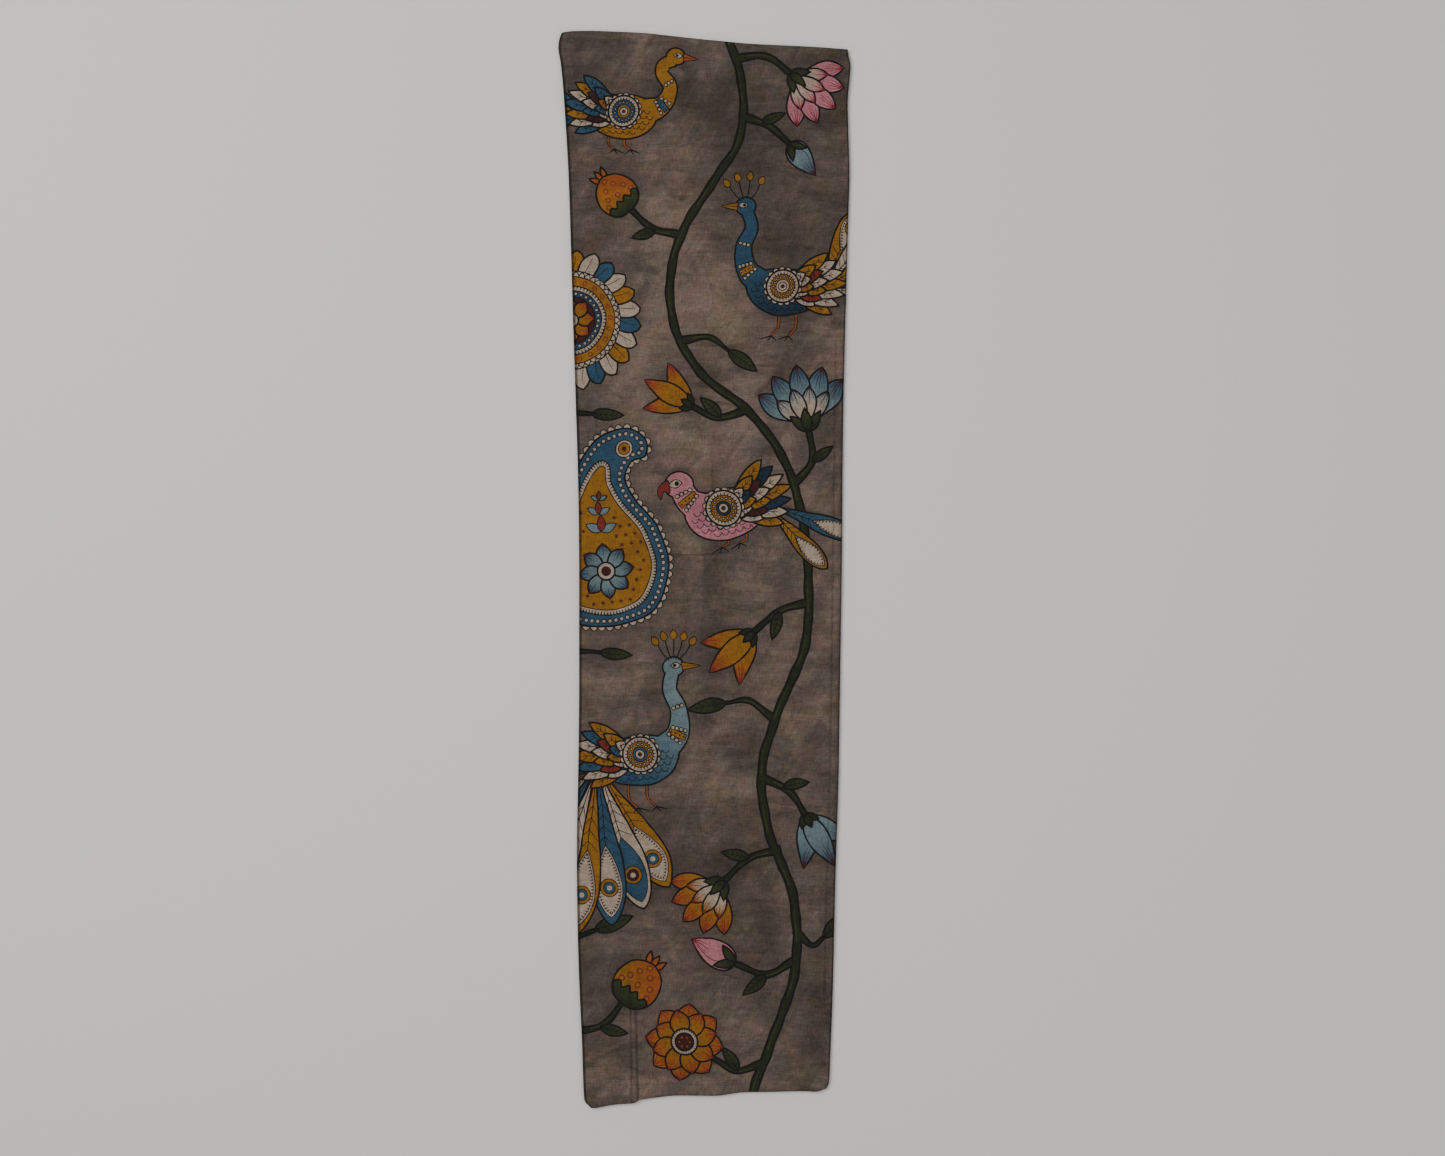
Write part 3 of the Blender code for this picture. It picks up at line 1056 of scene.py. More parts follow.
def heaped(bells: Points, flat: Points, level: float = 0.0) -> Points:
    """A level with soft bells on it.

    A bell is its height times e to minus the squared distance from its middle, counted in its reaches.

    Args:
        bells: Middle, reach both ways and height of each bell.
        flat: Places on the strip.
        level: What they stand on.

    Returns:
        The height at each place.
    """
    height = np.full(len(flat), level)
    for x, y, reach_x, reach_y, rise in bells:
        height += rise * np.exp(-(((flat[:, 0] - x) / reach_x) ** 2) - ((flat[:, 1] - y) / reach_y) ** 2)
    return height


@dataclass(frozen=True)
class Crease:
    """A sharp line pressed into the top layer: a ridge, or a groove where its rise is negative."""

    path: tuple[Pair, ...]
    reach: float
    rise: float
    # how much darker the cloth is painted along the crease: painted shade
    tone: float
    fade: float = 8.0
    margin: float = 9.0

    def share(self, flat: Points) -> Points:
        """How near each place lies to the crease, from 0 at its reach to 1 on its path.

        Args:
            flat: Places on the strip.

        Returns:
            The share at each place, which fades over the last millimetres of the path.
        """
        path = smooth(self.path, step=6.0)
        tail, run = path[:-1], np.diff(path, axis=0)
        length = np.linalg.norm(run, axis=1)
        start = np.concatenate([[0], np.cumsum(length)[:-1]])
        low, high = path.min(axis=0) - self.margin, path.max(axis=0) + self.margin
        near = np.all((flat > low) & (flat < high), axis=1)
        offset = flat[near][:, None] - tail
        part = np.clip(np.sum(offset * run, axis=2) / length**2, 0, 1)
        gap = np.linalg.norm(offset - part[..., None] * run, axis=2)
        nearest = gap.argmin(axis=1)
        rows = np.arange(len(nearest))
        travelled = start[nearest] + part[rows, nearest] * length[nearest]
        fade = np.clip(np.minimum(travelled, length.sum() - travelled) / self.fade, 0, 1)
        share = np.zeros(len(flat))
        share[near] = np.clip(1 - gap[rows, nearest] / self.reach, 0, 1) * fade
        return share


# path, reach, rise and the depth of the painted shade along each crease
CREASES = (
    Crease(((-78.5, -585), (-78.8, -530), (-79.5, -480), (-81.0, -440)), 2.0, 0.55, 0.55),
    Crease(((-71.5, -585), (-72.6, -530), (-74.0, -470)), 2.2, -0.35, 0.75),
    Crease(((-41.0, 18.0), (-6.0, 17.0), (33.0, 21.0)), 1.8, 0.45, 0.55),
    Crease(((54.0, 108.0), (84.0, 107.0), (114.0, 111.0)), 1.8, 0.40, 0.45),
    Crease(((8.0, 142.0), (9.0, 90.0), (7.5, 30.0)), 2.6, 0.35, 0.30),
    Crease(((-60.0, -44.0), (-57.0, -64.0), (-52.0, -86.0)), 2.0, 0.35, 0.35),
    Crease(((-48.0, -356.0), (-41.0, -364.0), (-34.0, -372.0)), 1.8, 0.30, 0.35),
    Crease(((22.0, -522.0), (27.0, -530.0), (33.0, -538.0)), 1.8, 0.30, 0.35),
    Crease(((141.0, 250), (139.2, 100), (137.6, -50), (135.6, -200), (131.8, -350), (129.0, -470)),
           2.0, -0.24, 0.42),
    Crease(((146.6, 150), (144.8, 0), (143.2, -120), (141.4, -220), (138.4, -330)), 1.6, -0.18, 0.36),
    Crease(((-116.0, 172.0), (-115.0, 130.0)), 1.8, 0.30, 0.35),
)


@dataclass(frozen=True)
class FoldedCloth:
    """The cloth's folded form: where each point of the flat cloth lies. Lengths are millimetres.

    Each turn reaches past its two layers by one length and uses up another of the cloth, its arc.
    The hidden layers stand back from the top one by the lengths whose names end in back.
    """

    thickness: float = 0.6
    left_length: float = 1154.0
    right_length: float = 1116.0
    levels: tuple[float, float, float, float] = (0.40, 1.60, 2.90, 4.30)
    outer_reach: float = 2.2
    outer_arc: float = 6.53
    tight_reach: float = 0.8
    tight_arc: float = 2.36
    inner_back: float = 2.8
    bottom_free_back: float = 6.2
    second_free_back: float = 3.4
    end_back: float = 1.5
    # how far before each turn that shows the fold's painted shade starts
    shaded_edge: float = 1.1
    third_share: float = 0.5
    crumple: float = 0.075
    waves: int = 12
    seed: int = 7

    def edge(self, y: Points, right: bool) -> Points:
        """The x of a long edge at each y, from a smooth curve through the table of widths.

        Args:
            y: Places along the strip.
            right: Whether the right edge is asked for, and not the left one.

        Returns:
            The edge's x at each place.
        """
        foot, head = (self.end_line(np.array([float(right)]), at_head)[0] for at_head in (False, True))
        share, *edges = WIDTHS.T
        curve = smooth(columns(foot + share * (head - foot), edges[right]), step=2.0)
        return np.interp(y, curve[:, 0], curve[:, 1])

    def end_line(self, across: Points, head: bool) -> Points:
        """The y of an end's edge: half the strip's length there, plus how far the edge lies past it.

        Args:
            across: Shares of the way across the strip.
            head: Whether the head end is asked for, and not the foot end.

        Returns:
            The edge's y at each share.
        """
        half = (self.left_length + (self.right_length - self.left_length) * across) / 2
        curve = smooth(ENDS[:, [0, 1 + head]], step=1.0)
        return (half if head else -half) + np.interp(across * 100, curve[:, 0], curve[:, 1])

    def relief(self, flat: Points) -> Points:
        """How far the top layer stands above its level: swells, a fine crumple and the creases.

        The crumple is a sum of sine waves of 28 to 90 mm in seeded directions. A crease is a tent over
        its path that fades at the path's two ends.

        Args:
            flat: Places on the strip.

        Returns:
            The height at each place.
        """
        height = heaped(SWELLS, flat)
        dice = np.random.default_rng(self.seed)
        wave = 2 * np.pi / dice.uniform(28, 90, self.waves)
        way, phase = dice.uniform(0, np.pi, self.waves), dice.uniform(0, 2 * np.pi, self.waves)
        run = flat[:, :1] * np.cos(way) + flat[:, 1:] * np.sin(way)
        height += self.crumple * np.sin(run * wave + phase).sum(axis=1)
        for crease in CREASES:
            height += crease.rise * crease.share(flat)
        return height

    def fold_places(self, y: Points) -> tuple[Points, Points, Points, Points]:
        """Where the cloth's turns lie.

        Args:
            y: Places along the strip.

        Returns:
            The x where the outer, the top and the inner turn start at each place, and the right edge.
        """
        left, right, half = self.edge(y, False), self.edge(y, True), self.thickness / 2
        outer, tight = left + half + self.outer_reach, right - half - self.tight_reach
        return outer, tight, left + half + self.inner_back, right

    def turns(self, y: Points) -> list[tuple[Points, float]]:
        """The stretches of the flat cloth that its turns take up.

        Args:
            y: Places along the strip.

        Returns:
            For each turn, where it starts at each place, and its arc, below zero to the left.
        """
        outer, tight, inner, _ = self.fold_places(y)
        second = tight + self.tight_arc + tight - inner
        return [(outer, -self.outer_arc), (tight, self.tight_arc), (second, self.tight_arc)]

    def fold_shade(self, flat: Points) -> Points:
        """Painted shade on the two folds that show, darker where the cloth turns down out of the light.

        The shade rises over the last millimetre before each turn, stays for four fifths of the turn's
        arc, and is gone a tenth past it.

        Args:
            flat: Places on the flat cloth, one row each.

        Returns:
            The shade at each place, from 0 to 1.
        """
        outer, tight, *_ = self.fold_places(flat[:, 1])
        past = np.stack([outer - flat[:, 0], flat[:, 0] - tight])
        arc = np.array([[self.outer_arc], [self.tight_arc]])
        return np.clip(np.minimum(1 + past / self.shaded_edge, (1.1 - past / arc) / 0.3), 0, 1).max(axis=0)

    def run(self, flat: Points) -> tuple[Points, Points, Points]:
        """Carries points of the flat cloth round the folds.

        Each turn is half an ellipse, whose angle is pi times the share of its arc that is used up.

        Args:
            flat: Places on the flat cloth, one row each.

        Returns:
            The x and z of each place, and how far the layer's ends stand back there, from 0 to 1.
        """
        u, y = flat[:, 0], flat[:, 1]
        outer, tight, inner, _ = self.fold_places(y)
        bottom, second, third, top = self.levels

        past_outer, past_tight = outer - u, u - tight
        past_inner = past_tight - self.tight_arc - (tight - inner)
        arcs = ((past_outer, self.outer_arc), (past_tight, self.tight_arc), (past_inner, self.tight_arc))
        angles = [np.pi * np.clip(past / arc, 0, 1) for past, arc in arcs]
        beyond = [np.maximum(past - arc, 0) for past, arc in arcs]

        layers = [past_outer > 0, past_inner > 0, past_tight > 0]
        x_bottom = outer - self.outer_reach * np.sin(angles[0]) + beyond[0]
        x_third = tight + self.tight_reach * np.sin(angles[1]) - beyond[1]
        x_second = inner - self.tight_reach * np.sin(angles[2]) + beyond[2]
        x = np.select(layers, [x_bottom, x_second, x_third], u)

        above = np.where(layers[0], outer, np.where(layers[1], inner, np.minimum(x, tight)))
        relief = self.relief(columns(above, y))
        z_top, z_third = top + relief, third + self.third_share * relief
        drops = ((z_top, bottom), (z_top, z_third), (z_third, second))
        z_bottom, z_turned, z_second = ((high + low) / 2 + (high - low) / 2 * np.cos(angle)
                                        for (high, low), angle in zip(drops, angles))
        z = np.select(layers, [z_bottom, z_second, z_turned], z_top)

        across = np.clip((x - outer) / (tight - outer), 0, 1)
        return x, z, np.select(layers, [across, np.ones_like(u), 1 - across], 0.0)

    def place(self, flat: Points) -> Points:
        """The folded place of each point of the flat cloth, on the middle of its thickness."""
        x, z, _ = self.run(flat)
        return columns(x, flat[:, 1], z)

    def normals(self, flat: Points, reach: float = 0.35) -> Points:
        """The painted side's outward direction: the cross product of the surface's two slopes.

        Args:
            flat: Places on the flat cloth, one row each.
            reach: Half the span over which each slope is taken.

        Returns:
            One unit vector for each place.
        """
        slopes = [self.place(flat + step) - self.place(flat - step) for step in np.eye(2) * reach]
        normal = np.cross(*slopes)
        return normal / np.linalg.norm(normal, axis=1, keepdims=True)

    def side_limits(self, y: Points) -> tuple[Points, Points]:
        """The flat cloth's two free edges at each y: where the bottom and the second layer end.

        Args:
            y: Places along the strip.

        Returns:
            The lowest and the highest x of the cloth at each place.
        """
        outer, tight, inner, right = self.fold_places(y)
        low = outer - self.outer_arc - (right - self.bottom_free_back - outer)
        high = tight + 2 * self.tight_arc + (tight - inner) + (right - self.second_free_back - inner)
        return low, high

    def end_limits(self, u: Points) -> tuple[Points, Points]:
        """The flat cloth's two ends at each place across it, a little uneven where they are hidden.

        Args:
            u: Places across the flat cloth.

        Returns:
            The y of the foot end and of the head end at each place.
        """
        ends = []
        for head, inwards in ((False, 1), (True, -1)):
            y = np.full_like(u, -inwards * self.left_length / 2)
            left, right = self.edge(y, False), self.edge(y, True)
            x, _, back = self.run(columns(u, y))
            line = self.end_line(np.clip((x - left) / (right - left), 0, 1), head)
            fray = 0.35 * np.sin(u / 9.0 + head) + 0.25 * np.sin(u / 3.7)
            ends.append(line + inwards * self.end_back * back + fray * np.minimum(back * 4, 1))
        return ends[0], ends[1]


@dataclass(frozen=True)
class Net:
    """Triangles over the flat cloth: places, and the numbers of each triangle's corners."""

    places: Points
    faces: Points

    def sides(self) -> tuple[Points, Points, Points]:
        """Each triangle side's tail, its head, and a number that only sides of this run have."""
        tails, heads = self.faces.ravel(), np.roll(self.faces, -1, axis=1).ravel()
        return tails, heads, tails * len(self.places) + heads

    def rim(self) -> Points:
        """The sides that only one triangle has, each running as that triangle does."""
        tails, heads, keys = self.sides()
        return columns(tails, heads)[~np.isin(keys, heads * len(self.places) + tails)]

    def doubled(self) -> int:
        """How many triangle sides run as another one does."""
        return self.faces.size - len(np.unique(self.sides()[2]))


def triangulate(points: Points, edges: Points, inside: Callable[[Points], Points], snap: float) -> Net:
    """Cuts the flat cloth into the roundest triangles that keep to some edges.

    Args:
        points: Places on the flat cloth.
        edges: Pairs of their numbers, which triangles don't cross.
        inside: Says which triangles stay, by their middles.
        snap: How close two places have to lie to become one.

    Returns:
        The triangles, counter-clockwise, over the places that they use, in the order given.
    """
    places, _, faces, *_ = delaunay_2d_cdt(points.tolist(), edges.tolist(), [], 0, snap, False)
    places, faces = np.array(places), np.array(faces)
    faces = faces[inside(places[faces].mean(axis=1))]
    a, b, c = (places[faces[:, k]] for k in range(3))
    clockwise = (b[:, 0] - a[:, 0]) * (c[:, 1] - a[:, 1]) < (b[:, 1] - a[:, 1]) * (c[:, 0] - a[:, 0])
    faces[clockwise] = faces[clockwise][:, ::-1]
    used, numbers = np.unique(faces, return_inverse=True)
    return Net(places[used], numbers.reshape(faces.shape))


def chained(lines: list[tuple[Points, bool]], base: int) -> Points:
    """The sides of some lines whose points are numbered one line after another.

    Args:
        lines: Each line, and whether its last point leads back to its first.
        base: The number of the first line's first point.

    Returns:
        The numbers of each side's two ends.
    """
    sides = []
    for line, closed in lines:
        numbers = np.arange(len(line) - (not closed))
        sides.append(base + columns(numbers, (numbers + 1) % len(line)))
        base += len(line)
    return np.vstack(sides)


@dataclass(frozen=True)
class Cutting:
    """Cuts the flat cloth into triangles. Lengths are millimetres."""

    cloth: FoldedCloth
    painting: Painting
    top_grid: float = 7.5
    under_grid: float = 9.0
    hidden_grid: float = 17.0
    coarse_grid: float = 13.0
    row_stops: tuple[float, ...] = (-590.0, -546.0, 542.0, 592.0)
    row_steps: tuple[float, ...] = (2.0, 6.0, 2.0)
    outer_lines: int = 8
    tight_lines: int = 6
    end_step: float = 3.0
    end_gap: float = 0.4
    side_gap: float = 0.6
    under_width: float = 400.0
    hidden_width: float = 700.0
    painted_gap: float = 2.0
    plain_gap: float = 3.0
    rim_gap: float = 1.4
    painted_snap: float = 0.004
    plain_snap: float = 0.0001
    block: int = 4000

    def rows(self) -> Points:
        """Places along the cloth at which its folds and free edges get points, closest at its corners."""
        spans = zip(self.row_stops, self.row_stops[1:], self.row_steps)
        return np.concatenate([np.arange(low, high, step) for low, high, step in spans])

    def border(self) -> Points:
        """The flat cloth's outline, counter-clockwise from its foot end's left corner.

        Returns:
            The outline's points.
        """
        y = self.rows()
        low, high = self.cloth.side_limits(y)
        u = np.arange(low.min() - 5, high.max() + 5, self.end_step)
        foot, head = self.cloth.end_limits(u)
        lines = []
        for end, side, way in ((foot, high, 1), (head, low, -1)):
            left, right = self.cloth.side_limits(end)
            lines.append(columns(u, end)[(u > left + self.end_gap) & (u < right - self.end_gap)][::way])
            lowest, highest = self.cloth.end_limits(side)
            clear = (y > lowest + self.side_gap) & (y < highest - self.side_gap)
            lines.append(columns(side, y)[clear][::way])
        return np.vstack(lines)

    def inside(self, border: Points) -> Callable[[Points], Points]:
        """Makes a test of which places lie inside a border, which goes through them in blocks."""
        return lambda places: np.concatenate(
            [held(some, border) for some in np.array_split(places, max(1, len(places) // self.block))])

    def bent_lines(self) -> list[Points]:
        """The lines on which the mesh bends: along each turn, and each crease's path and two sides.

        Returns:
            The lines, those along the turns first.
        """
        y = self.rows()
        counts = (self.outer_lines, self.tight_lines, self.tight_lines)
        lines = [start + arc * k / count for (start, arc), count in zip(self.cloth.turns(y), counts)
                 for k in range(count + 1)]
        outer, tight, *_ = self.cloth.fold_places(y)
        # lines where the painted shade of the two folds starts
        lines += [outer + self.cloth.shaded_edge, tight - self.cloth.shaded_edge]
        lines = [columns(line, y) for line in lines]
        for crease in CREASES:
            path = smooth(crease.path, step=5.0)
            lines += [path + sideways(path) * crease.reach * side for side in (-1, 0, 1)]
        return lines

    def grid(self, coarse: bool, gap: float) -> Points:
        """Loose places that fill in the areas between lines, closest on the top layer.

        Args:
            coarse: Whether the wrong side is filled, which nobody sees.
            gap: How far they keep from the turns.

        Returns:
            The places.
        """
        outer, tight, *_ = (place[0] for place in self.cloth.fold_places(np.array([0.0])))
        parts = ((outer, tight, self.top_grid),
                 (outer - self.under_width, outer - self.cloth.outer_arc, self.under_grid),
                 (tight + self.cloth.tight_arc, tight + self.hidden_width, self.hidden_grid))
        fields = []
        for start, stop, step in parts:
            step = max(step, self.coarse_grid) if coarse else step
            across = np.arange(start + step / 2, stop, step)
            up = np.arange(self.row_stops[0], -self.row_stops[0], step)
            mesh = np.stack(np.meshgrid(across, up), axis=-1)
            mesh[1::2, :, 0] += step / 2
            fields.append(mesh.reshape(-1, 2))
        places = np.vstack(fields)
        clear = np.ones(len(places), bool)
        for start, arc in self.cloth.turns(places[:, 1]):
            clear &= np.abs(places[:, 0] - start - arc / 2) > abs(arc) / 2 + gap
        return places[clear]

    def painted_net(self) -> Net:
        """The painted side's triangles, cut along the painting's outlines, the folds and creases.

        Returns:
            The triangles.
        """
        border = self.border()
        loose = self.grid(False, self.painted_gap)
        lines = [(border, True)] + [(line, False) for line in self.bent_lines()]
        placed = np.vstack([loose] + [line for line, _ in lines])
        drawn, sides = self.seen_outlines(border.min(axis=0), border.max(axis=0))
        edges = np.vstack([chained(lines, len(loose)), len(placed) + sides])
        return triangulate(np.vstack([placed, drawn]), edges, self.inside(border), self.painted_snap)

    def seen_outlines(self, low: Points, high: Points) -> tuple[Points, Points]:
        """The painting's outlines, without what later shapes cover.

        A side goes if both its ends and its middle lie in shapes that are laid on after its own.

        Args:
            low: The flat cloth's lowest corner.
            high: Its highest corner.

        Returns:
            The outlines' points, and the numbers of each side's two ends.
        """
        shapes = self.painting.shapes
        near = [k for k, shape in enumerate(shapes)
                if np.all(shape.max(axis=0) > low) and np.all(shape.min(axis=0) < high)]
        sides = chained([(shapes[k], True) for k in near], 0)
        points = np.vstack([shapes[k] for k in near])
        owner = np.repeat(near, [len(shapes[k]) for k in near])
        ahead = sides[:, 1]
        covered = topmost(points, shapes) > owner
        hidden = covered & covered[ahead] & (topmost((points + points[ahead]) / 2, shapes) > owner)
        used, numbers = np.unique(sides[~hidden], return_inverse=True)
        return points[used], numbers.reshape(-1, 2)

    def plain_net(self, painted: Net) -> tuple[Net, Points]:
        """The wrong side's triangles, coarse inside the very rim of the painted ones.

        The rim's places come first among the cut ones, in their own order.

        Args:
            painted: The painted side's triangles.

        Returns:
            The triangles, and the painted side's number for each of their first places.
        """
        rim = painted.rim()
        numbers = np.unique(rim)
        test = self.inside(self.border())
        loose = np.vstack([self.grid(True, self.plain_gap)] + self.bent_lines())
        shifts = self.rim_gap * table((0, 0), (1, 0), (-1, 0), (0, 1), (0, -1))
        clear = np.all([test(loose + shift) for shift in shifts], axis=0)
        points = np.vstack([painted.places[numbers], loose[clear]])
        plain = triangulate(points, np.searchsorted(numbers, rim), test, self.plain_snap)
        kept = np.allclose(plain.places[:len(numbers)], painted.places[numbers], atol=0.001)
        log.info("wrong side: %d triangles, the rim's places kept in order: %s", len(plain.faces), kept)
        return plain, numbers


@dataclass(frozen=True)
class Smudges:
    """The dark haze that the ground's brush leaves round the motifs, worked out on a grid of cells."""

    cell: float = 2.0
    blur: float = 6.0
    strength: float = 1.6
    margin: float = 40.0

    def shade(self, painting: Painting, places: Points) -> Points:
        """How thick the haze lies at each place.

        The outlines' points are counted in square cells, up to two in each. The counts are blurred by a
        bell in the frequency plane, and the haze is one less e to minus the blurred count.

        Args:
            painting: The painting whose outlines gather the haze.
            places: Places on the flat cloth.

        Returns:
            The haze at each place, from 0 to 1.
        """
        drawn = np.vstack(painting.shapes)
        low = np.minimum(drawn.min(axis=0), places.min(axis=0)) - self.margin
        high = np.maximum(drawn.max(axis=0), places.max(axis=0)) + self.margin
        cells = np.ceil((high - low) / self.cell).astype(int)
        row, column = ((drawn - low) / self.cell).astype(int).T
        count = np.bincount(row * cells[1] + column, minlength=cells.prod()).reshape(cells)
        wave_x, wave_y = np.meshgrid(np.fft.fftfreq(cells[0]), np.fft.fftfreq(cells[1]), indexing="ij")
        bell = np.exp(-2 * (np.pi * self.blur / self.cell) ** 2 * (wave_x**2 + wave_y**2))
        soft = np.fft.ifft2(np.fft.fft2(np.minimum(count, 2)) * bell).real
        at = (places - low) / self.cell - 0.5
        row, column = np.floor(at).astype(int).T
        past, up = (at - np.floor(at)).T
        near, far = (soft[row + k, column] * (1 - up) + soft[row + k, column + 1] * up for k in (0, 1))
        return 1 - np.exp(-self.strength * np.maximum(near * (1 - past) + far * past, 0))


def stood(name: str, data: bpy.types.ID) -> bpy.types.Object:
    """Puts a mesh, a light or a camera on a new object in the scene.

    Args:
        name: The object's name.
        data: What it shows.

    Returns:
        The object.
    """
    thing = bpy.data.objects.new(name, data)
    bpy.context.scene.collection.objects.link(thing)
    return thing


@dataclass(frozen=True)
class Panel:
    """The panel as a piece of the scene: its mesh, what the mesh carries, and its finish."""

    cutting: Cutting
    smudges: Smudges
    node: str = "kalamkari_panel"
    slot: str = "painted_cotton"
    name: str = "painted_panel"
    flat_width: float = 1.15
    flat_length: float = 1.14

    def build(self, finish: PaintedCotton) -> bpy.types.Object:
        """Cuts, folds, colours and dresses the cloth.

        Args:
            finish: The cotton's finish.

        Returns:
            The panel.
        """
        painted = self.cutting.painted_net()
        log.info("painted side: %d triangles", len(painted.faces))
        plain, numbers = self.cutting.plain_net(painted)
        folded = self.sewn(painted, plain, numbers)
        piece = stood(self.name, self.mesh(folded))
        flat = np.vstack([painted.places, plain.places])
        self.carry(piece.data, flat, folded.faces, self.colours(painted, len(folded.faces), finish.bare))
        piece.data.materials.append(finish.build())
        log.info("%s: %d triangles", piece.name, len(piece.data.polygons))
        return piece

    def sewn(self, painted: Net, plain: Net, numbers: Points) -> Net:
        """Folds both sides of the cloth and joins them by walls round the rim.

        Args:
            painted: The painted side's triangles over the flat cloth.
            plain: The wrong side's.
            numbers: The painted side's number for each of the wrong side's first places.

        Returns:
            The folded cloth's triangles, in millimetres, in the middle of its node and on the floor.
        """
        cloth = self.cutting.cloth
        half = cloth.thickness / 2
        front = cloth.place(painted.places) + cloth.normals(painted.places) * half
        back = cloth.place(plain.places) - cloth.normals(plain.places) * half
        partner = np.full(len(front), -1)
        partner[numbers] = np.arange(len(numbers)) + len(front)
        tail, head = painted.rim().T
        corners = ((head, tail, partner[tail]), (head, partner[tail], partner[head]))
        walls = [np.stack(three, axis=1) for three in corners]
        places = np.vstack([front, back])
        middle = np.mean(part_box(self.node), axis=0) / MILLIMETRE
        places[:, :2] += (middle - (places.max(axis=0) + places.min(axis=0)) / 2)[:2]
        places[:, 2] -= places[:, 2].min()
        whole = Net(places, np.vstack([painted.faces, plain.faces[:, ::-1] + len(front), *walls]))
        log.info("sides of triangles at the rim: %d, open: %d, doubled: %d",
                 len(tail), len(whole.rim()), whole.doubled())
        return whole

    def colours(self, painted: Net, count: int, bare: Triple) -> Points:
        """The dye at each triangle's corners.

        Args:
            painted: The painted side's triangles.
            count: How many triangles the whole cloth has.
            bare: The ground's own colour, which the wrong side and the rim have too.

        Returns:
            Red, green, blue and how much dye there is, for each corner of each triangle.
        """
        painting = self.cutting.painting
        corners = painted.places[painted.faces]
        colours = np.empty((count, 3, 4))
        colours[...] = (*bare, 0.0)
        found = topmost(corners.mean(axis=1), painting.shapes)
        for number in np.unique(found[found >= 0]):
            rows = np.flatnonzero(found == number)
            colours[rows, :, :3] = painting.blends[number].colours(corners[rows])
            colours[rows, :, 3] = 1.0
        log.info("bare ground on the painted side: %.0f%% of the triangles", 100 * np.mean(found < 0))
        return colours

    def mesh(self, folded: Net) -> bpy.types.Mesh:
        """Puts the folded cloth into a smooth shaded mesh, in metres.

        Args:
            folded: Its triangles in millimetres.

        Returns:
            The mesh.
        """
        mesh = bpy.data.meshes.new(self.name)
        mesh.vertices.add(len(folded.places))
        mesh.vertices.foreach_set("co", (folded.places * MILLIMETRE).ravel().astype(np.float32))
        mesh.loops.add(folded.faces.size)
        mesh.loops.foreach_set("vertex_index", folded.faces.ravel().astype(np.int32))
        mesh.polygons.add(len(folded.faces))
        mesh.polygons.foreach_set("loop_start", np.arange(0, folded.faces.size, 3, dtype=np.int32))
        mesh.update(calc_edges=True)
        mesh.shade_smooth()
        return mesh

    def carry(self, mesh: bpy.types.Mesh, flat: Points, faces: Points, colours: Points) -> None:
        """Gives the mesh its dyes, its marks, and its flat places in metres as a map.

        The marks are the haze, the painted shade of creases and folds, and the paler washes, in that order.

        Args:
            mesh: The folded mesh.
            flat: The flat place of each of its points.
            faces: The numbers of each triangle's corners.
            colours: The dye at each triangle's corners.
        """
        # painted shade: darker along the creases and the two folds that show
        crease_and_fold_shade = sum(crease.tone * crease.share(flat) for crease in CREASES)
        marks = np.ones((len(flat), 4))
        marks[:, 0] = self.smudges.shade(self.cutting.painting, flat)
        marks[:, 1] = np.clip(np.maximum(crease_and_fold_shade, self.cutting.cloth.fold_shade(flat)), 0, 1)
        marks[:, 2] = np.clip(heaped(WASHES, flat, 0.5), 0, 1)
        for name, domain, values in (("dye", "CORNER", colours), ("marks", "POINT", marks)):
            layer = mesh.attributes.new(name, "FLOAT_COLOR", domain)
            layer.data.foreach_set("color", values.ravel().astype(np.float32))
        chart = mesh.uv_layers.new(name="flat")
        chart.data.foreach_set("uv", (flat[faces.ravel()] * MILLIMETRE).ravel().astype(np.float32))

    def declare(self, piece: bpy.types.Object) -> None:
        """Puts the piece on the frame's root body and hides the part that it stands for.

        Args:
            piece: The panel.
        """
        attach(piece, "root")
        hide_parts(self.node)


Socket = bpy.types.NodeSocket
Number = Union["Wire", float]


@dataclass(frozen=True)
class Wire:
    """A number on a node's socket. Python's operators on it add Math nodes."""

    nodes: Nodes
    socket: Socket

    def combined(self, operation: str, *numbers: Number) -> Wire:
        """Adds a Math node for one operation on some numbers."""
        return self.nodes.number("ShaderNodeMath", {"operation": operation}, dict(enumerate(numbers)))

    def __add__(self, other: Number) -> Wire:
        """Sum."""
        return self.combined("ADD", self, other)

    def __sub__(self, other: Number) -> Wire:
        """Difference."""
        return self.combined("SUBTRACT", self, other)

    def __mul__(self, other: Number) -> Wire:
        """Product."""
        return self.combined("MULTIPLY", self, other)

    def __rsub__(self, other: Number) -> Wire:
        """Difference from a plain number."""
        return self.combined("SUBTRACT", other, self)

    __radd__ = __add__
    __rmul__ = __mul__

    def sine(self) -> Wire:
        """Sine of an angle in radians."""
        return self.combined("SINE", self)

    def eased(self, low: float, high: float) -> Wire:
        """0 up to one value, 1 from another on, and a smooth step between them."""
        values = {"Value": self, "From Min": low, "From Max": high}
        return self.nodes.number("ShaderNodeMapRange", {"interpolation_type": "SMOOTHSTEP"}, values)


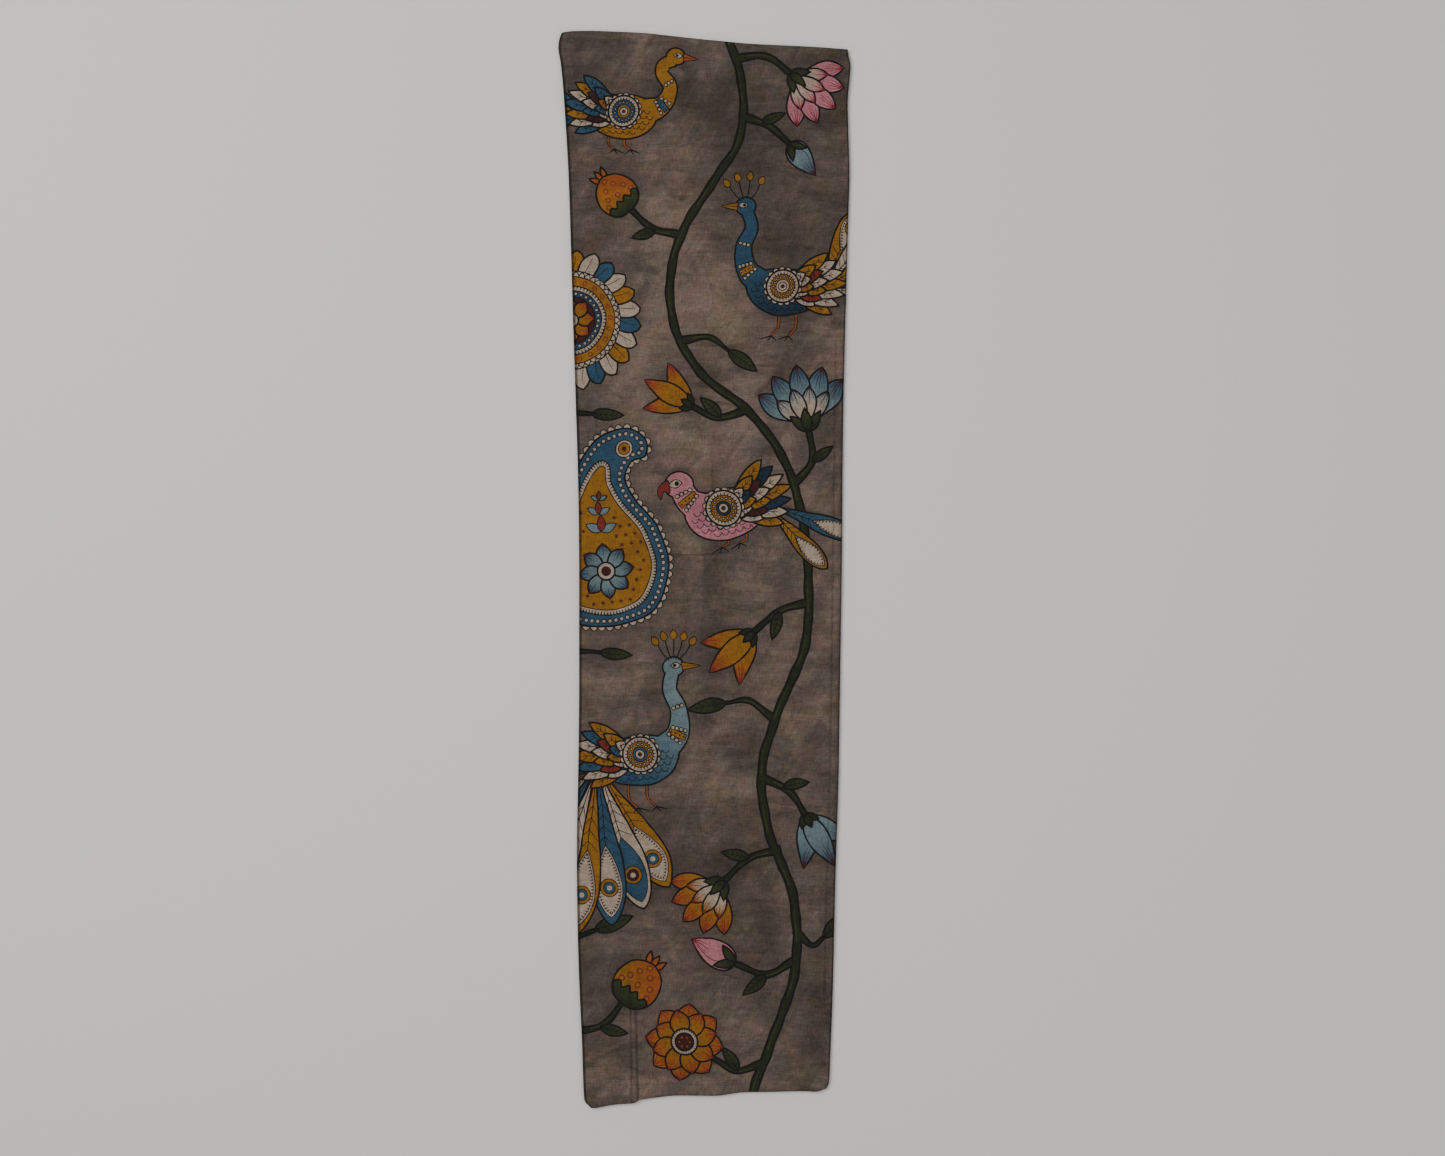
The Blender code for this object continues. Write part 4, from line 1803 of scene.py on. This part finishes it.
@dataclass(frozen=True)
class Nodes:
    """A material's node tree, with one way to add a node."""

    tree: bpy.types.NodeTree

    def add(self, kind: str, settings: dict[str, object], values: dict[str | int, object]) -> bpy.types.Node:
        """Adds a node.

        Args:
            kind: The node's type.
            settings: Its own properties, which are set first.
            values: What its sockets get, by name or number: a wire, a socket or a plain value.

        Returns:
            The node.
        """
        node = self.tree.nodes.new(kind)
        for name, value in settings.items():
            setattr(node, name, value)
        self.feed(node, values)
        return node

    def feed(self, node: bpy.types.Node, values: dict[str | int, object]) -> None:
        """Gives a node's sockets what they get.

        Args:
            node: The node.
            values: A wire, a socket or a plain value for each, by name or number.
        """
        for key, value in values.items():
            source = value.socket if isinstance(value, Wire) else value
            if isinstance(source, bpy.types.NodeSocket):
                self.tree.links.new(source, node.inputs[key])
            else:
                node.inputs[key].default_value = source

    def number(self, kind: str, settings: dict[str, object], values: dict[str | int, object]) -> Wire:
        """Adds a node and gives its first output as a number."""
        return Wire(self, self.add(kind, settings, values).outputs[0])

    def product(self, first: object, second: object) -> Socket:
        """Two places or colours multiplied, number by number."""
        return self.add("ShaderNodeVectorMath", {"operation": "MULTIPLY"}, {0: first, 1: second}).outputs[0]

    def scaled(self, colour: Socket, amount: Wire) -> Socket:
        """A colour made lighter or darker by a number."""
        values = {0: colour, "Scale": amount}
        return self.add("ShaderNodeVectorMath", {"operation": "SCALE"}, values).outputs[0]

    def mixed(self, share: Wire, first: object, second: object) -> Socket:
        """Mixes two colours by a share."""
        settings = {"data_type": "RGBA", "clamp_factor": True}
        return self.add("ShaderNodeMix", settings, {0: share, 6: first, 7: second}).outputs[2]

    def clouds(self, place: Socket, across: float, along: float, detail: float = 3.0,
               roughness: float = 0.55, warp: float = 0.0) -> Wire:
        """Noise over a place that is stretched first.

        Args:
            place: The place that it is read at.
            across: How many blots it has in a metre across the cloth.
            along: How many it has in a metre along it.
            detail: How many finer layers lie over it.
            roughness: How strong the finer layers are.
            warp: How far the noise bends its own place.

        Returns:
            The noise, around 0.5.
        """
        values = {"Vector": self.product(place, (across, along, 1.0)), "Scale": 1.0, "Detail": detail,
                  "Roughness": roughness, "Distortion": warp}
        return self.number("ShaderNodeTexNoise", {"noise_dimensions": "2D"}, values)


@dataclass(frozen=True)
class Grounds:
    """What the cotton's finish is made from: its nodes, what the mesh carries, and shared noises."""

    nodes: Nodes
    place: Socket
    slant: Socket
    dye: Socket
    painted: Wire
    haze: Wire
    # painted shade along creases and the folds that show
    crease_and_fold_shade: Wire
    washed: Wire
    strokes: Wire
    blots: Wire
    wipes: Wire
    threads: Wire


@dataclass(frozen=True)
class PaintedCotton:
    """Matte plain-weave cotton: a cloudy grey-brown wash under dyes and a reed pen's lines."""

    name: str = "painted_cotton"
    bare: Triple = (0.0895, 0.0670, 0.0548)
    pale: Triple = (0.164, 0.1165, 0.0930)
    dark: Triple = (0.049, 0.0375, 0.0310)
    smoke: Triple = (0.027, 0.0225, 0.0190)
    ochre_stain: Triple = (1.0, 1.01, 0.86)
    rosy_stain: Triple = (1.055, 0.965, 0.985)
    grey_stain: Triple = (0.95, 1.015, 1.03)
    brush_slant: float = math.radians(34)
    threads_per_metre: float = 1900.0
    roughness: float = 0.88
    specular: float = 0.18
    sheen: float = 0.07
    sheen_roughness: float = 0.5
    weave_depth: float = 0.00006
    crumple_depth: float = 0.0009
    bump_strength: float = 0.8

    def build(self) -> bpy.types.Material:
        """Makes the material: the dyes over the ground, both with the cloth's grain and bump.

        Returns:
            The material.
        """
        material = bpy.data.materials.new(self.name)
        material.use_nodes = True
        nodes = Nodes(material.node_tree)
        grounds = self.gathered(nodes)
        nodes.feed(material.node_tree.nodes["Principled BSDF"], {
            "Base Color": self.cloth(grounds),
            "Normal": self.bump(grounds),
            "Roughness": self.roughness,
            "Specular IOR Level": self.specular,
            "Sheen Weight": self.sheen,
            "Sheen Roughness": self.sheen_roughness,
        })
        return material

    def gathered(self, nodes: Nodes) -> Grounds:
        """Reads the mesh's map, dyes and marks, and adds the noises that several layers share.

        Args:
            nodes: The material's nodes.

        Returns:
            What was read and added.
        """
        place = nodes.add("ShaderNodeUVMap", {"uv_map": "flat"}, {}).outputs[0]
        turn = {"Vector": place, "Rotation": (0.0, 0.0, self.brush_slant)}
        slant = nodes.add("ShaderNodeMapping", {}, turn).outputs[0]
        dye, marks = (nodes.add("ShaderNodeAttribute", {"attribute_name": name}, {})
                      for name in ("dye", "marks"))
        parts = nodes.add("ShaderNodeSeparateColor", {}, {0: marks.outputs["Color"]})
        haze, crease_and_fold_shade, washed = (Wire(nodes, socket) for socket in parts.outputs[:3])
        return Grounds(
            nodes=nodes, place=place, slant=slant, haze=haze, crease_and_fold_shade=crease_and_fold_shade, washed=washed,
            dye=dye.outputs["Color"], painted=Wire(nodes, dye.outputs["Alpha"]),
            strokes=nodes.clouds(slant, 50.0, 13.0, 3.0, 0.5, 0.6),
            blots=nodes.clouds(place, 30.0, 24.0, 5.0, 0.60, 0.8),
            wipes=nodes.clouds(place, 20.0, 150.0, 3.0, 0.55, 0.4),
            threads=nodes.clouds(place, 60.0, 1700.0, 1.0) + nodes.clouds(place, 1700.0, 60.0, 1.0))

    def washed_ground(self, grounds: Grounds) -> Socket:
        """The ground between the motifs.

        The wash runs from dark by the bare ground to pale, by a sum of broad clouds, brush strokes,
        blots and the washed patches. Smoke darkens it round the motifs. Its hue wavers between ochre,
        rosy and grey, and fine scratches are a little paler.

        Args:
            grounds: What the finish is made from.

        Returns:
            Its colour.
        """
        nodes, place, blots, slanting = grounds.nodes, grounds.place, grounds.blots, grounds.strokes
        bare, pale, dark, smoke = ((*colour, 1.0) for colour in (self.bare, self.pale, self.dark, self.smoke))
        broad = nodes.clouds(place, 9.0, 7.5, 4.0, 0.5, 0.7)
        level = nodes.clouds(place, 13.0, 36.0, 4.0, 0.52, 0.5)
        tide = nodes.clouds(place, 9.0, 6.0, 3.0, 0.45, 1.2).eased(0.475, 0.495)
        wash = broad * 1.25 + level * 0.80 + grounds.wipes * 0.55 + slanting * 0.60 + blots * 0.70
        wash = wash + tide * 0.12 + grounds.washed * 0.7
        ground = nodes.mixed(wash.eased(1.85, 2.50), dark, bare)
        ground = nodes.mixed(wash.eased(2.34, 2.98), ground, pale)
        smears = nodes.clouds(place, 14.0, 27.0, 4.0, 0.62, 1.1).eased(0.55, 0.74)
        gathered = grounds.haze * (blots * 1.1 + slanting * 0.7).eased(0.62, 1.22)
        ground = nodes.mixed(gathered * 0.72 + smears * 0.42, ground, smoke)
        hue = nodes.clouds(place, 26.0, 22.0, 4.0, 0.7, 1.0).eased(0.46, 0.66)
        ground = nodes.mixed(hue, ground, nodes.product(ground, self.ochre_stain))
        blush = nodes.clouds(place, 31.0, 47.0, 4.0, 0.75, 0.8).eased(0.38, 0.62)
        ground = nodes.product(ground, nodes.mixed(blush, (*self.grey_stain, 1.0), (*self.rosy_stain, 1.0)))
        scratches = nodes.clouds(grounds.slant, 430.0, 20.0, 1.0, 0.5, 0.6).eased(0.60, 0.70)
        return nodes.scaled(ground, 1.0 + scratches * 0.13)

    def cloth(self, grounds: Grounds) -> Socket:
        """The ground and the dyes over it, which take less of the clouds, both with the cloth's grain.

        The grain is a sum of mottle, slubs and threads, and painted shade along creases and folds darkens it.

        Args:
            grounds: What the finish is made from.

        Returns:
            The cloth's colour.
        """
        nodes, place = grounds.nodes, grounds.place
        uneven = grounds.wipes * 0.30 + grounds.blots * 0.60 + grounds.strokes * 0.25 + 0.425
        dyed = nodes.scaled(grounds.dye, uneven)
        cloth = nodes.mixed(grounds.painted, self.washed_ground(grounds), dyed)
        mottle = nodes.clouds(place, 150.0, 230.0, 3.0, 0.72, 0.5)
        slubs = nodes.clouds(place, 110.0, 740.0, 2.0, 0.7) + nodes.clouds(place, 780.0, 120.0, 2.0, 0.7)
        grain = mottle * 0.50 + slubs * 0.78 + grounds.threads * 0.28 - 0.30
        # painted shade darkens the cloth along creases and folds
        return nodes.scaled(cloth, grain * (1 - grounds.crease_and_fold_shade * 0.68))

    def bump(self, grounds: Grounds) -> Socket:
        """The weave and a soft crumple as a bump.

        The weave is the product of two sines, one for each set of threads.

        Args:
            grounds: What the finish is made from.

        Returns:
            The bent normal.
        """
        nodes, pace = grounds.nodes, self.threads_per_metre * math.pi
        ways = nodes.add("ShaderNodeSeparateXYZ", {}, {0: nodes.product(grounds.place, (pace, pace, 1.0))})
        weave = Wire(nodes, ways.outputs[0]).sine() * Wire(nodes, ways.outputs[1]).sine()
        crumple = nodes.clouds(grounds.place, 90.0, 70.0, 3.0, 0.5, 0.3) * self.crumple_depth
        values = {"Height": crumple + (weave + grounds.threads) * self.weave_depth,
                  "Distance": 1.0, "Strength": self.bump_strength}
        return nodes.add("ShaderNodeBump", {}, values).outputs[0]


class Light(NamedTuple):
    """A square soft light that faces the middle of the cloth: its side in metres and its watts."""

    name: str
    place: Triple
    side: float
    power: float

    def hang(self) -> None:
        """Hangs the light."""
        light = bpy.data.lights.new(self.name, "AREA")
        light.size = self.side
        light.energy = self.power
        lamp = stood(self.name, light)
        lamp.location = self.place
        lamp.rotation_euler = (-Vector(self.place)).to_track_quat("-Z", "Y").to_euler()


@dataclass(frozen=True)
class Studio:
    """The floor, the soft lights and the camera over the cloth. Lengths are metres."""

    floor_size: float = 6.0
    floor_height: float = -0.0003
    floor_colour: Triple = (0.80, 0.785, 0.76)
    floor_roughness: float = 0.9
    lights: tuple[Light, ...] = (Light("key_light", (-1.5, 0.9, 2.6), 1.8, 62.0),
                                 Light("fill_light", (1.7, -0.8, 2.6), 2.4, 20.0))
    surround: float = 0.35
    target: Triple = (0.0194, -0.0048, 0.004)
    distance: float = 2.2
    lean: float = math.radians(1.64)
    focal: float = 51.06
    sensor: float = 36.0

    def build(self) -> None:
        """Lays the floor, hangs the lights and sets the camera."""
        self.lay_floor()
        for light in self.lights:
            light.hang()
        world = bpy.data.worlds.new("soft_surround")
        bpy.context.scene.world = world
        world.use_nodes = True
        background = {"Color": (1.0, 1.0, 1.0, 1.0), "Strength": self.surround}
        Nodes(world.node_tree).feed(world.node_tree.nodes["Background"], background)
        self.set_camera()
        log.info("studio: floor, %d soft lights and the camera", len(self.lights))

    def lay_floor(self) -> None:
        """Lays a plain pale floor just under the cloth."""
        half = self.floor_size / 2
        mesh = bpy.data.meshes.new("floor")
        corners = [(-half, -half), (half, -half), (half, half), (-half, half)]
        mesh.from_pydata([(x, y, self.floor_height) for x, y in corners], [], [(0, 1, 2, 3)])
        material = bpy.data.materials.new("pale_floor")
        material.use_nodes = True
        finish = {"Base Color": (*self.floor_colour, 1.0), "Roughness": self.floor_roughness}
        Nodes(material.node_tree).feed(material.node_tree.nodes["Principled BSDF"], finish)
        mesh.materials.append(material)
        floor = stood("floor", mesh)

    def set_camera(self) -> None:
        """Hangs the camera over the cloth, almost straight above, with the head end at the top."""
        camera = bpy.data.cameras.new("camera")
        camera.lens = self.focal
        camera.sensor_width = self.sensor
        stand = stood("camera", camera)
        x, y, z = self.target
        stand.location = (x, y + self.distance * math.sin(self.lean), z + self.distance * math.cos(self.lean))
        stand.rotation_euler = (-self.lean, 0.0, 0.0)
        bpy.context.scene.camera = stand


def main() -> None:
    """Paints, cuts and folds the cloth, sets the studio up and notes the sizes."""
    logging.basicConfig(level=logging.INFO, format="%(name)s: %(message)s", stream=sys.stdout, force=True)
    painting = Painting()
    paint_cloth(painting)
    panel = Panel(Cutting(FoldedCloth(), painting), Smudges())
    panel.declare(panel.build(PaintedCotton()))
    Studio().build()


if __name__ == "__main__":
    main()
